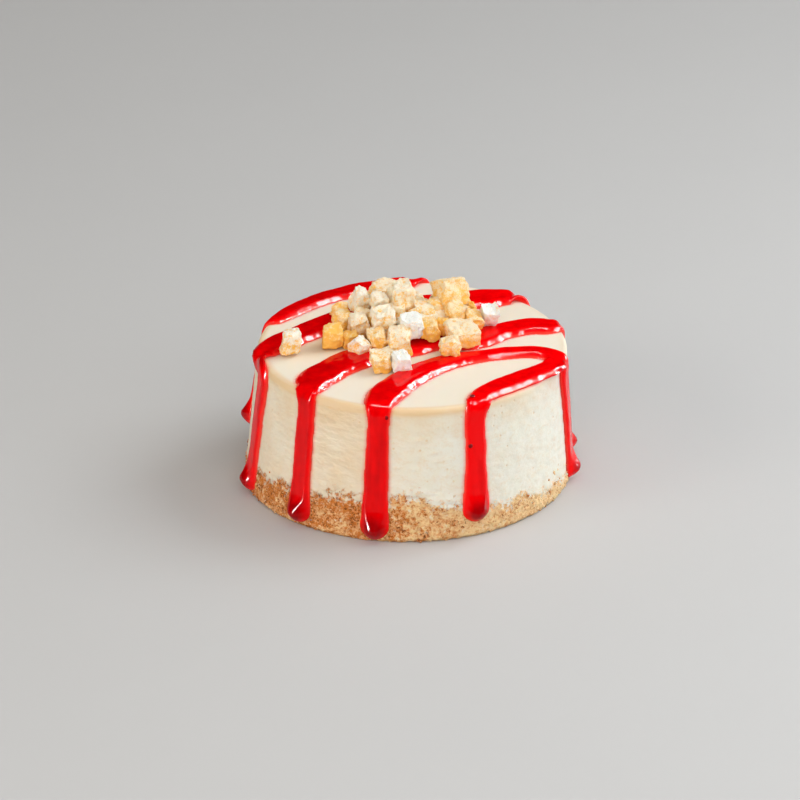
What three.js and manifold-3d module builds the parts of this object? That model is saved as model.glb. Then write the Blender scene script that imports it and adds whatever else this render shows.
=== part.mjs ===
// An individual fruit cheesecake: baked cheese filling on a biscuit crumb base,
// drizzled with red fruit sauce that runs over the rim and down the side, under
// a heap of dried fruit dice. Millimetres, +Z up, the origin at the middle of
// the foot. The front is -Y, and angles run from the front towards +X.

import * as THREE from 'three';
import { mergeVertices } from 'three/addons/utils/BufferGeometryUtils.js';
import { ConvexGeometry } from 'three/addons/geometries/ConvexGeometry.js';
import Module from 'manifold-3d';

// Driving dimensions of the cake

const FOOT_RADIUS = 37; // at the floor
const TOP_RADIUS = 35; // where the side would meet the top
const CAKE_HEIGHT = 32;
const RIM_FILLET = 1.2; // the soft edge between top and side
const RIM_STEPS = 3; // facets round that edge
const FILLING_FOOT = 2; // the filling's block starts here, inside the crust, and is cut by it
const LEAN = 1.1; // the top's middle stands this far towards +X of the foot's
const OUTLINE_WAVES = [ // how the round outline strays, as shares of the radius
  { size: 0.006, count: 2, phase: 0.8 },
  { size: 0.0035, count: 5, phase: 2.1 },
];
const GAP = 0.3; // between two solids that touch
const CAKE_SEGMENTS = 80;

// The biscuit base: a thick layer whose top edge wanders up and down

const CRUST_HEIGHT = 6.9; // mean, at the side
const CRUST_SWELL = 3.2; // thicker in front and behind than at the sides
const CRUST_SWELL_ANGLE = -16; // degrees, where it is thickest
const CRUST_WAVES = [ // the small waves along its top edge, in mm
  { size: 0.4, count: 9, phase: 1 },
  { size: 0.35, count: 16, phase: 2 },
  { size: 0.3, count: 27, phase: 0.5 },
];
const CRUMB_RELIEF = 0.24; // how far crumbs stand out of the side, on average
const CRUMB_SCATTER = 78.233; // any number that makes neighbouring crumbs unlike
const CRUST_ROWS = 4; // rows of crumbs up the side, above the one at the foot
const FOOT_ROW = 0.25; // height of the lowest row, in rows
const CRUST_EDGE_ROUND = 0.7; // how far the foot's edge is worn round
const CRUST_LEVEL = 0.6; // share of the radius inside which its top is level

// The sauce: each strand is a low ridge, and a run down the side ends in a bead

const RUN_WIDTH = 5.2;
const TOP_THICK = 1.4;
const RUN_THICK = 0.95;
const SUNK = 0.7; // how deep a strand reaches into the cake
const BEAD_WIDTH = 6.6;
const BEAD_THICK = 3;
const BEAD_PLACE = 3.4; // from the end of the run to the bead's widest part
const BULGE_PLACE = 2.6; // from the end of the run to where the bead stands out most
const BULGE_SWELL = 2.6; // a bead grows thick over this length at most
const END_ROUND = 3.3; // length of the rounded end
const END_RINGS = 3; // sections in a rounded end
const STRAND_STEP = 2.3; // between two sections elsewhere
const TANGENT_REACH = 0.1; // half the distance over which a strand's direction is taken
const ARC_STEPS = 5; // sides of a section's arch
const EDGE_SLOPE = 1.25; // steepness of a strand's edge, where it meets the cake
const BEAD_FULLNESS = 2; // power of the curve over a bead, higher where a strand is flatter
const SUNK_WIDTH = 0.8; // of a section's flat, as a share of the arch's width
const RUN_START = 1; // from the rim down to the first point of a run
const RUN_POINTS = 3; // stretches of a run down the side
const THINNED = 4; // below the rim, a run is as thin as it gets

// Strands of sauce. The middle of each on the flat top is a row of [x, y, width]
// in mm. A run leaves the top at an angle, reaches its foot angle at a height
// above the floor, and swells into its bead over a length of swell.

const STRANDS = [
  {
    from: { angle: -111, foot: -98, height: 9.2, swell: 3 },
    over: [
      [-31.8, 12.4, 4], [-28.4, 16.4, 5], [-24.6, 20.6, 5.2], [-19, 25.6, 5.6], [-11, 29.8, 6.4],
      [-4, 32.4, 6.4],
    ],
    to: { angle: 176, foot: 173, height: 9, swell: 4.2 },
  },
  {
    from: { angle: -70, foot: -73, height: 0.5, swell: 5 },
    over: [
      [-34.2, -8, 4.8], [-32, -3, 6.8], [-28.5, 1.2, 7.8], [-24.4, 5.3, 7.6], [-18, 11.6, 8],
      [-3, 19.8, 7.4], [10, 22.8, 9], [17.6, 24.2, 9.2], [22.6, 25.2, 7],
    ],
    to: { angle: 133, foot: 128, height: 14, swell: 4.2 },
  },
  {
    from: { angle: -41.6, foot: -41.3, height: 0.8, swell: 4.6 },
    over: [
      [-22.4, -23.2, 6.6], [-21.4, -19.4, 9], [-18.2, -14.8, 9.4], [-14.6, -10.6, 9.6], [-8, -5.4, 8.8],
      [0, -3, 7.8], [6, -0.2, 6.4], [13.4, 1.4, 9.2], [20, 5.8, 7.8], [27, 8.9, 7.6], [31, 8.8, 7],
    ],
    to: { angle: 107, foot: 101, height: 1.2, swell: 4.2 },
  },
  {
    from: { angle: -12.2, foot: -11.6, height: 0.4, swell: 7.5 },
    over: [
      [-7, -31.2, 7.6], [-5.8, -27.4, 8.4], [-2.2, -21, 8.2], [3, -14.6, 7.6], [9, -10, 6.6],
      [15.4, -7.6, 5.2], [22, -5.6, 5], [28.6, -5.4, 5.2],
    ],
    to: { angle: 75.5, foot: 84.5, height: 0.5, swell: 4.2 },
  },
  {
    over: [
      [33.2, -8.4, 5.4], [31.2, -13, 6], [27, -17.4, 6.6], [22, -21.9, 6.8], [17.8, -25.8, 6.4],
      [15.2, -29, 5.6],
    ],
    to: { angle: 24, foot: 24.6, height: 3.5, swell: 5.2 },
  },
];

// Dried fruit dice. Each row is a die: its middle in mm from the middle of the
// top, its height above the top, its width and height, and its turn and tip in
// degrees.

const LOOSE_DIE = [-27.2, -5.8, 3.2, 4.4, 4.7, 6, 4];
const HEAP_DICE = [
  [-17.8, -2, 2.7, 4.7, 4.6, 12, 4],
  [-16.2, 11.2, 3, 3.7, 4, 35, 14],
  [-15.6, 6.4, 3.2, 4, 4.2, 50, 12],
  [-11.8, 9.4, 7, 4.9, 5, 18, 12],
  [-12.2, 2.5, 3.6, 4.5, 4.7, 20, 14],
  [-6.6, 14.6, 6.4, 5.3, 4, 10, 10],
  [-7.4, 7.6, 7.4, 3.8, 3, 24, 20],
  [-2.2, 8.4, 7.2, 6.4, 7.4, 22, 4],
  [-6.6, -0.8, 6.5, 5, 4.2, 16, 12],
  [-3.6, 5, 5.4, 4.3, 4.4, 14, 10],
  [-0.1, -1.4, 5.6, 4.9, 4.2, 24, 16],
  [2.8, 6, 5.9, 4.9, 2.2, 8, 12],
  [3.4, 3.4, 4.6, 4.6, 2.4, 12, 14],
  [3.8, -0.6, 4, 4.2, 3.8, 10, 8],
  [7.2, 1.6, 3.4, 3.2, 4, 62, 10],
  [11, -2.6, 4.1, 6.8, 3.3, 14, 6],
  [8.6, -8, 3.2, 4.2, 3.8, 6, 6],
  [8.8, 10.6, 8.2, 6.1, 6.2, 28, -20],
  [5.6, 7.8, 5.6, 4.2, 4.4, 30, 14],
  [9.8, 4.6, 6.2, 4.2, 4.2, 34, 16],
  [13.6, 10.8, 3.4, 3, 3.2, 44, 26],
  [14, 5.6, 3.4, 3.8, 3.4, 18, 12],
  [17.6, 7.6, 3.7, 4.5, 5, 10, 14],
  [-7.8, -4.4, 3.4, 4.2, 3.5, 16, 14],
  [-2.6, -5.2, 2.9, 5.2, 5, 6, 6],
  [-11.7, -6.6, 2.6, 4.1, 3.7, 40, 26],
  [-7, -14.4, 2.7, 5, 4, 18, 12],
  [-2.2, -15.6, 2.7, 4.3, 4.3, 14, 10],
  [-14.4, -1.2, 1.9, 3.9, 3, 24, 8],
  [0.2, 14.6, 3.2, 5.2, 5, 15, 10],
  [-9.6, 15.4, 2.8, 5, 5, 28, 14],
  [6.6, 15.2, 3, 5, 5, 62, 12],
  [10.4, 14.6, 2.8, 4.6, 4.6, 20, 8],
];
const DIE_UNEVEN = 0.18; // how far a corner strays, as a share of the size
const DIE_CHAMFER = 0.2; // share of an edge that is worn off at each corner
const HEAP_LOBES = [ // low mounds that the dice stand on and lean against
  { x: -0.6, y: 7.6, across: 15.4, along: 8.6, height: 5.6 },
  { x: -5.6, y: -9, across: 3.8, along: 6.4, height: 2.4 },
];
const LOBE_STEPS = 4; // up a lobe's side
const LOBE_SEGMENTS = 16;
const LOBE_DEPTH = 1; // below the top, where the cake then cuts it off

const COLOURS = {
  filling: { color: 0xf0e4cc, roughness: 0.55 },
  crust: { color: 0xc8935a, roughness: 0.9 },
  fruit: { color: 0xf6dfb4, roughness: 0.85 },
};

// Booleans

const MERGE_DISTANCE = 1e-4; // points closer than this are one
const wasm = await Module();
wasm.setup();

/** Drops seams and flat triangles, so that the shape is one closed surface. */
function closedMesh(geometry) {
  const bare = geometry.clone();
  bare.deleteAttribute('normal');
  bare.deleteAttribute('uv');
  const merged = mergeVertices(bare, MERGE_DISTANCE);
  const index = merged.index.array;
  const kept = [];
  for (let i = 0; i < index.length; i += 3) {
    const [a, b, c] = [index[i], index[i + 1], index[i + 2]];
    if (a !== b && b !== c && c !== a) kept.push(a, b, c);
  }
  merged.setIndex(kept);
  return merged;
}

function toSolid(geometry) {
  const mesh = closedMesh(geometry);
  return new wasm.Manifold(new wasm.Mesh({
    numProp: 3,
    vertProperties: Float32Array.from(mesh.attributes.position.array),
    triVerts: Uint32Array.from(mesh.index.array),
  }));
}

/** The largest piece of a solid, because a cut can leave scraps. */
function largestPiece(solid) {
  const pieces = solid.decompose();
  return pieces.reduce((a, b) => (b.volume() > a.volume() ? b : a));
}

function toGeometry(solid) {
  const mesh = largestPiece(solid).getMesh();
  const geometry = new THREE.BufferGeometry();
  geometry.setAttribute('position', new THREE.BufferAttribute(Float32Array.from(mesh.vertProperties), 3));
  geometry.setIndex(Array.from(mesh.triVerts));
  geometry.computeVertexNormals();
  return geometry;
}

const union = (solids) => solids.reduce((a, b) => a.add(b));

// The cake's outside

/** The sum of some waves at an angle. */
function ripple(angle, waves) {
  return waves.reduce((sum, { size, count, phase }) => sum + size * Math.sin(count * angle + phase), 0);
}

/** The side leans in by this much for each mm of height. */
const TAPER = (FOOT_RADIUS - TOP_RADIUS) / CAKE_HEIGHT;
const TAPER_LENGTH = Math.hypot(1, TAPER);
const FILLET_CENTRE = FOOT_RADIUS - TAPER * (CAKE_HEIGHT - RIM_FILLET) - RIM_FILLET * TAPER_LENGTH;
const FILLET_TURN = Math.PI / 2 - Math.atan(TAPER);
const RIM_LENGTH = FILLET_CENTRE + RIM_FILLET * FILLET_TURN;
const SIDE_TOP = CAKE_HEIGHT - RIM_FILLET + RIM_FILLET * Math.cos(FILLET_TURN);

/** Radius, height and outward direction at a distance from the top's middle, along the surface. */
function profileAt(length) {
  if (length <= FILLET_CENTRE) return { r: length, z: CAKE_HEIGHT, nr: 0, nz: 1 };
  if (length <= RIM_LENGTH) {
    const turn = (length - FILLET_CENTRE) / RIM_FILLET;
    return {
      r: FILLET_CENTRE + RIM_FILLET * Math.sin(turn),
      z: CAKE_HEIGHT - RIM_FILLET + RIM_FILLET * Math.cos(turn),
      nr: Math.sin(turn),
      nz: Math.cos(turn),
    };
  }
  const z = SIDE_TOP - (length - RIM_LENGTH) / TAPER_LENGTH;
  return { r: FOOT_RADIUS - TAPER * z, z, nr: 1 / TAPER_LENGTH, nz: TAPER / TAPER_LENGTH };
}

/** Distance along the surface, from the top's middle down to a height on the side. */
const lengthDownTo = (height) => RIM_LENGTH + (SIDE_TOP - height) * TAPER_LENGTH;

/** A radius, angle and height as a point of the leaning, slightly uneven cake. */
function cakePoint(r, theta, z) {
  const radius = r * (1 + ripple(theta, OUTLINE_WAVES));
  return new THREE.Vector3(radius * Math.cos(theta) + (LEAN * z) / CAKE_HEIGHT, radius * Math.sin(theta), z);
}

/** The surface unrolled like a round cloth: (u, v) on it, as a point and its normal. */
function surfaceAt(u, v) {
  const theta = Math.atan2(v, u);
  const { r, z, nr, nz } = profileAt(Math.hypot(u, v));
  const normal = new THREE.Vector3(nr * Math.cos(theta), nr * Math.sin(theta), nz);
  return { point: cakePoint(r, theta, z), normal };
}

const degrees = THREE.MathUtils.degToRad;

/** An angle from the front towards +X, as the usual angle from +X. */
const fromFront = (angle) => degrees(angle - 90);

/** A lathe whose points are moved onto the leaning, uneven cake. */
function cakeLathe(profile, segments, place) {
  const geometry = new THREE.LatheGeometry(profile, segments);
  geometry.rotateX(Math.PI / 2);
  const position = geometry.attributes.position;
  for (let i = 0; i < position.count; i++) {
    const [x, y, z] = [position.getX(i), position.getY(i), position.getZ(i)];
    const p = place(Math.hypot(x, y), Math.atan2(y, x), z);
    position.setXYZ(i, p.x, p.y, p.z);
  }
  return geometry;
}

/** The cheese filling before the crust and sauce are taken into account. */
function fillingBlock(grow) {
  const foot = FOOT_RADIUS - TAPER * FILLING_FOOT + grow;
  const profile = [new THREE.Vector2(0, FILLING_FOOT), new THREE.Vector2(foot, FILLING_FOOT)];
  for (let i = RIM_STEPS; i >= 0; i--) {
    const at = profileAt(FILLET_CENTRE + (RIM_FILLET * FILLET_TURN * i) / RIM_STEPS);
    profile.push(new THREE.Vector2(at.r + grow * at.nr, at.z + grow * at.nz));
  }
  profile.push(new THREE.Vector2(0, CAKE_HEIGHT + grow));
  return toSolid(cakeLathe(profile, CAKE_SEGMENTS, cakePoint));
}

// The biscuit base

/** Height of the crust's top edge at an angle. */
function crustLine(theta) {
  const angle = theta + Math.PI / 2;
  const swell = CRUST_SWELL * Math.cos(2 * (angle - degrees(CRUST_SWELL_ANGLE)));
  return CRUST_HEIGHT + swell + ripple(angle, CRUST_WAVES);
}

/** How far the crumb at a place in a row stands out, the same at every call. */
function crumbRelief(theta, row) {
  const place = (Math.round((theta / (2 * Math.PI)) * CAKE_SEGMENTS) + CAKE_SEGMENTS) % CAKE_SEGMENTS;
  return CRUMB_RELIEF * (1 + Math.sin(CRUMB_SCATTER * (place + 1) ** 2 * (row + 1)));
}

/** The crust, or with grow the room that it needs. Heights are shares of its own thickness. */
function crustBlock(grow) {
  const profile = [new THREE.Vector2(0, 0), new THREE.Vector2(FOOT_RADIUS - CRUST_EDGE_ROUND, 0)];
  for (let row = 0; row <= CRUST_ROWS; row++) {
    profile.push(new THREE.Vector2(FOOT_RADIUS, (row + FOOT_ROW) / (CRUST_ROWS + FOOT_ROW)));
  }
  profile.push(new THREE.Vector2(FOOT_RADIUS * CRUST_LEVEL, 1), new THREE.Vector2(0, 1));
  const place = (r, theta, share) => {
    const edge = THREE.MathUtils.smoothstep(r, FOOT_RADIUS * CRUST_LEVEL, FOOT_RADIUS);
    const z = share * (CRUST_HEIGHT + (crustLine(theta) - CRUST_HEIGHT) * edge + grow);
    const side = r >= FOOT_RADIUS - MERGE_DISTANCE;
    const crumbs = side ? grow + crumbRelief(theta, Math.round(share * CRUST_ROWS)) - TAPER * z : 0;
    return cakePoint(r + crumbs, theta, share === 0 ? -grow : z);
  };
  return toSolid(cakeLathe(profile, CAKE_SEGMENTS, place));
}

// The sauce

const bell = (x) => Math.exp(-x * x);

/** A run's place on the unrolled surface, from the rim down to its end. */
function runPoints({ angle, foot, height }) {
  const start = RIM_LENGTH + RUN_START;
  const end = lengthDownTo(height);
  const points = [];
  for (let i = 0; i <= RUN_POINTS; i++) {
    const length = start + ((end - start) * i) / RUN_POINTS;
    const theta = fromFront(angle + ((foot - angle) * i) / RUN_POINTS);
    points.push(new THREE.Vector3(length * Math.cos(theta), length * Math.sin(theta), RUN_WIDTH));
  }
  return points;
}

/** The strand's middle on the unrolled surface. Its third coordinate carries the width. */
function strandPath(strand) {
  const points = strand.over.map((row) => new THREE.Vector3(...row));
  if (strand.from) points.unshift(...runPoints(strand.from).reverse());
  if (strand.to) points.push(...runPoints(strand.to));
  return new THREE.CatmullRomCurve3(points, false, 'centripetal');
}

/** Where a strand has its sections: close together in its rounded ends, even between them. */
function sectionStops(length) {
  const inEnd = [];
  for (let i = 1; i < END_RINGS; i++) inEnd.push(END_ROUND * (1 - Math.cos((Math.PI / 2) * (i / END_RINGS))));
  const even = Math.round((length - 2 * END_ROUND) / STRAND_STEP);
  const between = [];
  for (let i = 0; i <= even; i++) between.push(END_ROUND + ((length - 2 * END_ROUND) * i) / even);
  return [...inEnd, ...between, ...inEnd.map((stop) => length - stop).reverse()];
}

/** A section of a strand: a flat-topped arch on the surface, closed by a flat sunk into it. */
function strandSection(half, thick) {
  const fullness = Math.max(BEAD_FULLNESS, (EDGE_SLOPE * half) / thick);
  const section = [];
  for (let i = 0; i <= ARC_STEPS; i++) {
    const share = Math.cos((Math.PI * i) / ARC_STEPS);
    section.push([half * share, thick * (1 - Math.abs(share) ** fullness)]);
  }
  section.push([-half * SUNK_WIDTH, -SUNK], [half * SUNK_WIDTH, -SUNK]);
  return section;
}

/** One strand of sauce as a closed ridge that is sunk into the surface, or with grow the room it needs. */
function strandBlock(strand, grow) {
  const path = strandPath(strand);
  const length = path.getLength();
  const on = (distance) => {
    const flat = path.getPointAt(distance / length);
    return { flat, ...surfaceAt(flat.x, flat.y) };
  };
  const bead = (run, distance) => (run ? bell((distance - BEAD_PLACE) / run.swell) : 0);
  const bulge = (run, distance) =>
    run ? bell((distance - BULGE_PLACE) / Math.min(run.swell, BULGE_SWELL)) : 0;
  const sides = strandSection(1, 1).length;
  const vertices = [];
  for (const stop of sectionStops(length)) {
    const { flat, point, normal } = on(stop);
    const ahead = on(Math.min(stop + TANGENT_REACH, length)).point;
    const tangent = ahead.sub(on(Math.max(stop - TANGENT_REACH, 0)).point).normalize();
    const across = normal.clone().cross(tangent).normalize();
    const beads = bead(strand.from, stop) + bead(strand.to, length - stop);
    const bulges = bulge(strand.from, stop) + bulge(strand.to, length - stop);
    const fromMiddle = Math.hypot(flat.x, flat.y);
    const onSide = THREE.MathUtils.smoothstep(fromMiddle, FILLET_CENTRE, RIM_LENGTH + THINNED);
    const thin = TOP_THICK + (RUN_THICK - TOP_THICK) * onSide;
    const toEnd = Math.min(1, stop / END_ROUND, (length - stop) / END_ROUND);
    const round = Math.sqrt(1 - (1 - toEnd) ** 2);
    const half = ((flat.z + (BEAD_WIDTH - flat.z) * beads) / 2) * round + grow;
    const thick = (thin + (BEAD_THICK - thin) * bulges) * round + grow;
    for (const [a, n] of strandSection(half, thick)) {
      const p = point.clone().addScaledVector(across, a).addScaledVector(normal, n);
      vertices.push(p.x, p.y, p.z);
    }
  }
  const faces = [];
  const last = vertices.length / 3 - sides;
  for (let ring = 0; ring < last; ring += sides) {
    for (let j = 0; j < sides; j++) {
      const k = (j + 1) % sides;
      const next = ring + sides;
      faces.push(ring + j, ring + k, next + k, ring + j, next + k, next + j);
    }
  }
  const tip = last + sides;
  for (const distance of [0, length]) {
    const { point } = on(distance);
    vertices.push(point.x, point.y, point.z);
  }
  for (let j = 0; j < sides; j++) {
    const k = (j + 1) % sides;
    faces.push(tip, k, j, tip + 1, last + j, last + k);
  }
  const geometry = new THREE.BufferGeometry();
  geometry.setAttribute('position', new THREE.BufferAttribute(new Float32Array(vertices), 3));
  geometry.setIndex(faces);
  return toSolid(geometry);
}

const sauceBlock = (grow) => union(STRANDS.map((strand) => strandBlock(strand, grow)));

// The fruit

const DRAW_PRIME = 2147483647; // a Lehmer generator's modulus and multiplier
const DRAW_STEP = 16807;
const SEED_STEP = 7919; // and what spreads neighbouring seeds apart
const SEED_START = 104729;

/** Even draws from a seed, between -1 and 1. */
function draws(seed) {
  let state = (seed * SEED_STEP + SEED_START) % DRAW_PRIME;
  return () => {
    state = (state * DRAW_STEP) % DRAW_PRIME;
    return (2 * state) / DRAW_PRIME - 1;
  };
}

/** An uneven die with worn corners, as the hull of three points near each corner. */
function dieBlock([x, y, lift, width, height, turn, tip], seed) {
  const draw = draws(seed);
  const half = [width / 2, width / 2, height / 2];
  const points = [];
  for (let corner = 0; corner < 8; corner++) {
    const sign = [corner & 1 ? 1 : -1, corner & 2 ? 1 : -1, corner & 4 ? 1 : -1];
    const at = sign.map((s, i) => half[i] * s * (1 + DIE_UNEVEN * draw()));
    for (let axis = 0; axis < 3; axis++) {
      const p = at.slice();
      p[axis] *= 1 - DIE_CHAMFER;
      points.push(new THREE.Vector3(...p));
    }
  }
  const geometry = new ConvexGeometry(points);
  const turned = new THREE.Euler(degrees(tip), 0, degrees(turn), 'ZYX');
  geometry.applyMatrix4(new THREE.Matrix4().makeRotationFromEuler(turned));
  geometry.translate(x + LEAN, y, CAKE_HEIGHT + lift);
  return toSolid(geometry);
}

/** A mound under the dice, cut off later by the top of the cake. */
function lobeBlock({ x, y, across, along, height }) {
  const profile = [new THREE.Vector2(0, -LOBE_DEPTH), new THREE.Vector2(1, -LOBE_DEPTH)];
  for (let i = 0; i <= LOBE_STEPS; i++) {
    const turn = ((Math.PI / 2) * i) / LOBE_STEPS;
    profile.push(new THREE.Vector2(i === LOBE_STEPS ? 0 : Math.cos(turn), height * Math.sin(turn)));
  }
  const geometry = new THREE.LatheGeometry(profile, LOBE_SEGMENTS);
  geometry.rotateX(Math.PI / 2);
  geometry.scale(across, along, 1);
  geometry.translate(x + LEAN, y, CAKE_HEIGHT);
  return toSolid(geometry);
}

// Assembly

function named(name, geometry, material) {
  const mesh = new THREE.Mesh(geometry, new THREE.MeshStandardMaterial({ metalness: 0, ...material }));
  mesh.name = name;
  return mesh;
}

const cheesecake = fillingBlock(0).add(sauceBlock(0)).subtract(crustBlock(GAP));
const dressedTop = fillingBlock(GAP).add(sauceBlock(GAP));
const dieBlocks = [LOOSE_DIE, ...HEAP_DICE].map((die, i) => dieBlock(die, i + 1));
const heap = union([...HEAP_LOBES.map(lobeBlock), ...dieBlocks.slice(1)]).subtract(dressedTop);
const looseDie = dieBlocks[0].subtract(dressedTop);

const group = new THREE.Group();
group.add(
  named('biscuit_base', toGeometry(crustBlock(0)), COLOURS.crust),
  named('cheesecake', toGeometry(cheesecake), COLOURS.filling),
  named('fruit_heap', toGeometry(heap), COLOURS.fruit),
  named('loose_fruit_die', toGeometry(looseDie), COLOURS.fruit),
);

export default group;
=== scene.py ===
# An individual fruit cheesecake, dressed over its solid model: a cheese filling on
# a biscuit crumb base, red fruit sauce in strands and runs, and a heap of dried
# fruit dice. Lengths in the functions are millimetres unless they say metres. The
# front is -Y, and angles run from the front towards +X.

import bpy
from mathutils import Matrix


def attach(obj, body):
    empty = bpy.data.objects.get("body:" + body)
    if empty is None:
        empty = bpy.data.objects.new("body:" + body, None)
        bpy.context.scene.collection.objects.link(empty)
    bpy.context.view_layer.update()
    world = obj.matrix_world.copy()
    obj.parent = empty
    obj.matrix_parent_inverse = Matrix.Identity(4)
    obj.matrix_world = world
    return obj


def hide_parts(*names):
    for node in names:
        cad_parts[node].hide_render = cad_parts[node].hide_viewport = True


bl_info = {
    "name": "Fruit Cheesecake",
    "version": (1, 0, 0),
    "blender": (4, 5, 0),
    "location": "3D View > Sidebar > Cheesecake",
    "description": "Makes a small round cheesecake with fruit sauce and dried fruit dice",
    "category": "Add Mesh",
}

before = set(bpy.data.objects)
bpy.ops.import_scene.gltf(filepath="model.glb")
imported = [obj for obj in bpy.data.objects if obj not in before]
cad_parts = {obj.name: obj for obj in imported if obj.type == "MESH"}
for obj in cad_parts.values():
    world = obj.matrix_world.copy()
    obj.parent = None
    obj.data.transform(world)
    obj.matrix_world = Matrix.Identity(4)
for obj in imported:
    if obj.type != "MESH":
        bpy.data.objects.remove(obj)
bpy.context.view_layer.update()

import math

import bpy
import numpy as np
from bpy.props import FloatProperty, FloatVectorProperty, IntProperty, PointerProperty
from mathutils import Euler, Vector, kdtree, noise

MM = 0.001

# The solid model's own numbers, which the pieces below follow. A wave is its height,
# how often it comes round the cake and its phase. The outline's are shares of the radius.

OUTLINE_WAVES = ((0.006, 2, 0.8), (0.0035, 5, 2.1))
CRUST_WAVES = ((0.4, 9, 1.0), (0.35, 16, 2.0), (0.3, 27, 0.5))

# Where light and shade are painted on the cake, as angles from the front in degrees:
# the side painted paler by the light from the right, the side and the spot painted
# darker as painted shade, and where the rim is browned most, partly painted shade;
# then the middle of a patch of painted shade on the top beside the heap

PAINTED_LIGHT_SIDE = 62
PAINTED_SHADE_SIDE = -70
BROWN_RIM = -50
PAINTED_SHADE_SPOT = -27
PAINTED_SHADE_PATCH = (-20, 1)

# Strands of sauce: the middle of each on the flat top as rows of x, y and width,
# and its runs down the side as an angle at the rim, an angle at the foot, the
# height of the end above the floor and the length over which the bead swells.

STRANDS = (
    {
        "from": (-111, -98, 9.2, 3),
        "over": (
            (-31.8, 12.4, 4), (-28.4, 16.4, 5), (-24.6, 20.6, 5.2), (-19, 25.6, 5.6), (-11, 29.8, 6.4),
            (-4, 32.4, 6.4),
        ),
        "to": (176, 173, 9, 4.2),
    },
    {
        "from": (-70, -73, 0.5, 5),
        "over": (
            (-34.2, -8, 4.8), (-32, -3, 6.8), (-28.5, 1.2, 7.8), (-24.4, 5.3, 7.6), (-18, 11.6, 8),
            (-3, 19.8, 7.4), (10, 22.8, 9), (17.6, 24.2, 9.2), (22.6, 25.2, 7),
        ),
        "to": (133, 128, 14, 4.2),
    },
    {
        "from": (-41.6, -41.3, 0.8, 4.6),
        "over": (
            (-22.4, -23.2, 6.6), (-21.4, -19.4, 9), (-18.2, -14.8, 9.4), (-14.6, -10.6, 9.6), (-8, -5.4, 8.8),
            (0, -3, 7.8), (6, -0.2, 6.4), (13.4, 1.4, 9.2), (20, 5.8, 7.8), (27, 8.9, 7.6), (31, 8.8, 7),
        ),
        "to": (107, 101, 1.2, 4.2),
    },
    {
        "from": (-12.2, -11.6, 0.4, 7.5),
        "over": (
            (-7, -31.2, 7.6), (-5.8, -27.4, 8.4), (-2.2, -21, 8.2), (3, -14.6, 7.6), (9, -10, 6.6),
            (15.4, -7.6, 5.2), (22, -5.6, 5), (28.6, -5.4, 5.2),
        ),
        "to": (75.5, 84.5, 0.5, 4.2),
    },
    {
        "over": (
            (33.2, -8.4, 5.4), (31.2, -13, 6), (27, -17.4, 6.6), (22, -21.9, 6.8), (17.8, -25.8, 6.4),
            (15.2, -29, 5.6),
        ),
        "to": (24, 24.6, 3.5, 5.2),
    },
)

STRAND_STEP = 0.55  # between the points along a strand
STRAND_SIDES = 48
STRAND_RIDGES = 0.35  # how high the ridges along a strand are, as a share of its thickness

# Dice: the middle's x and y from the middle of the top and its height above the top,
# the width and height, the turn and tip in degrees, how white and how golden it is
# from 0 to about 1, and how much it narrows upwards, or below 0 downwards.

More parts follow.
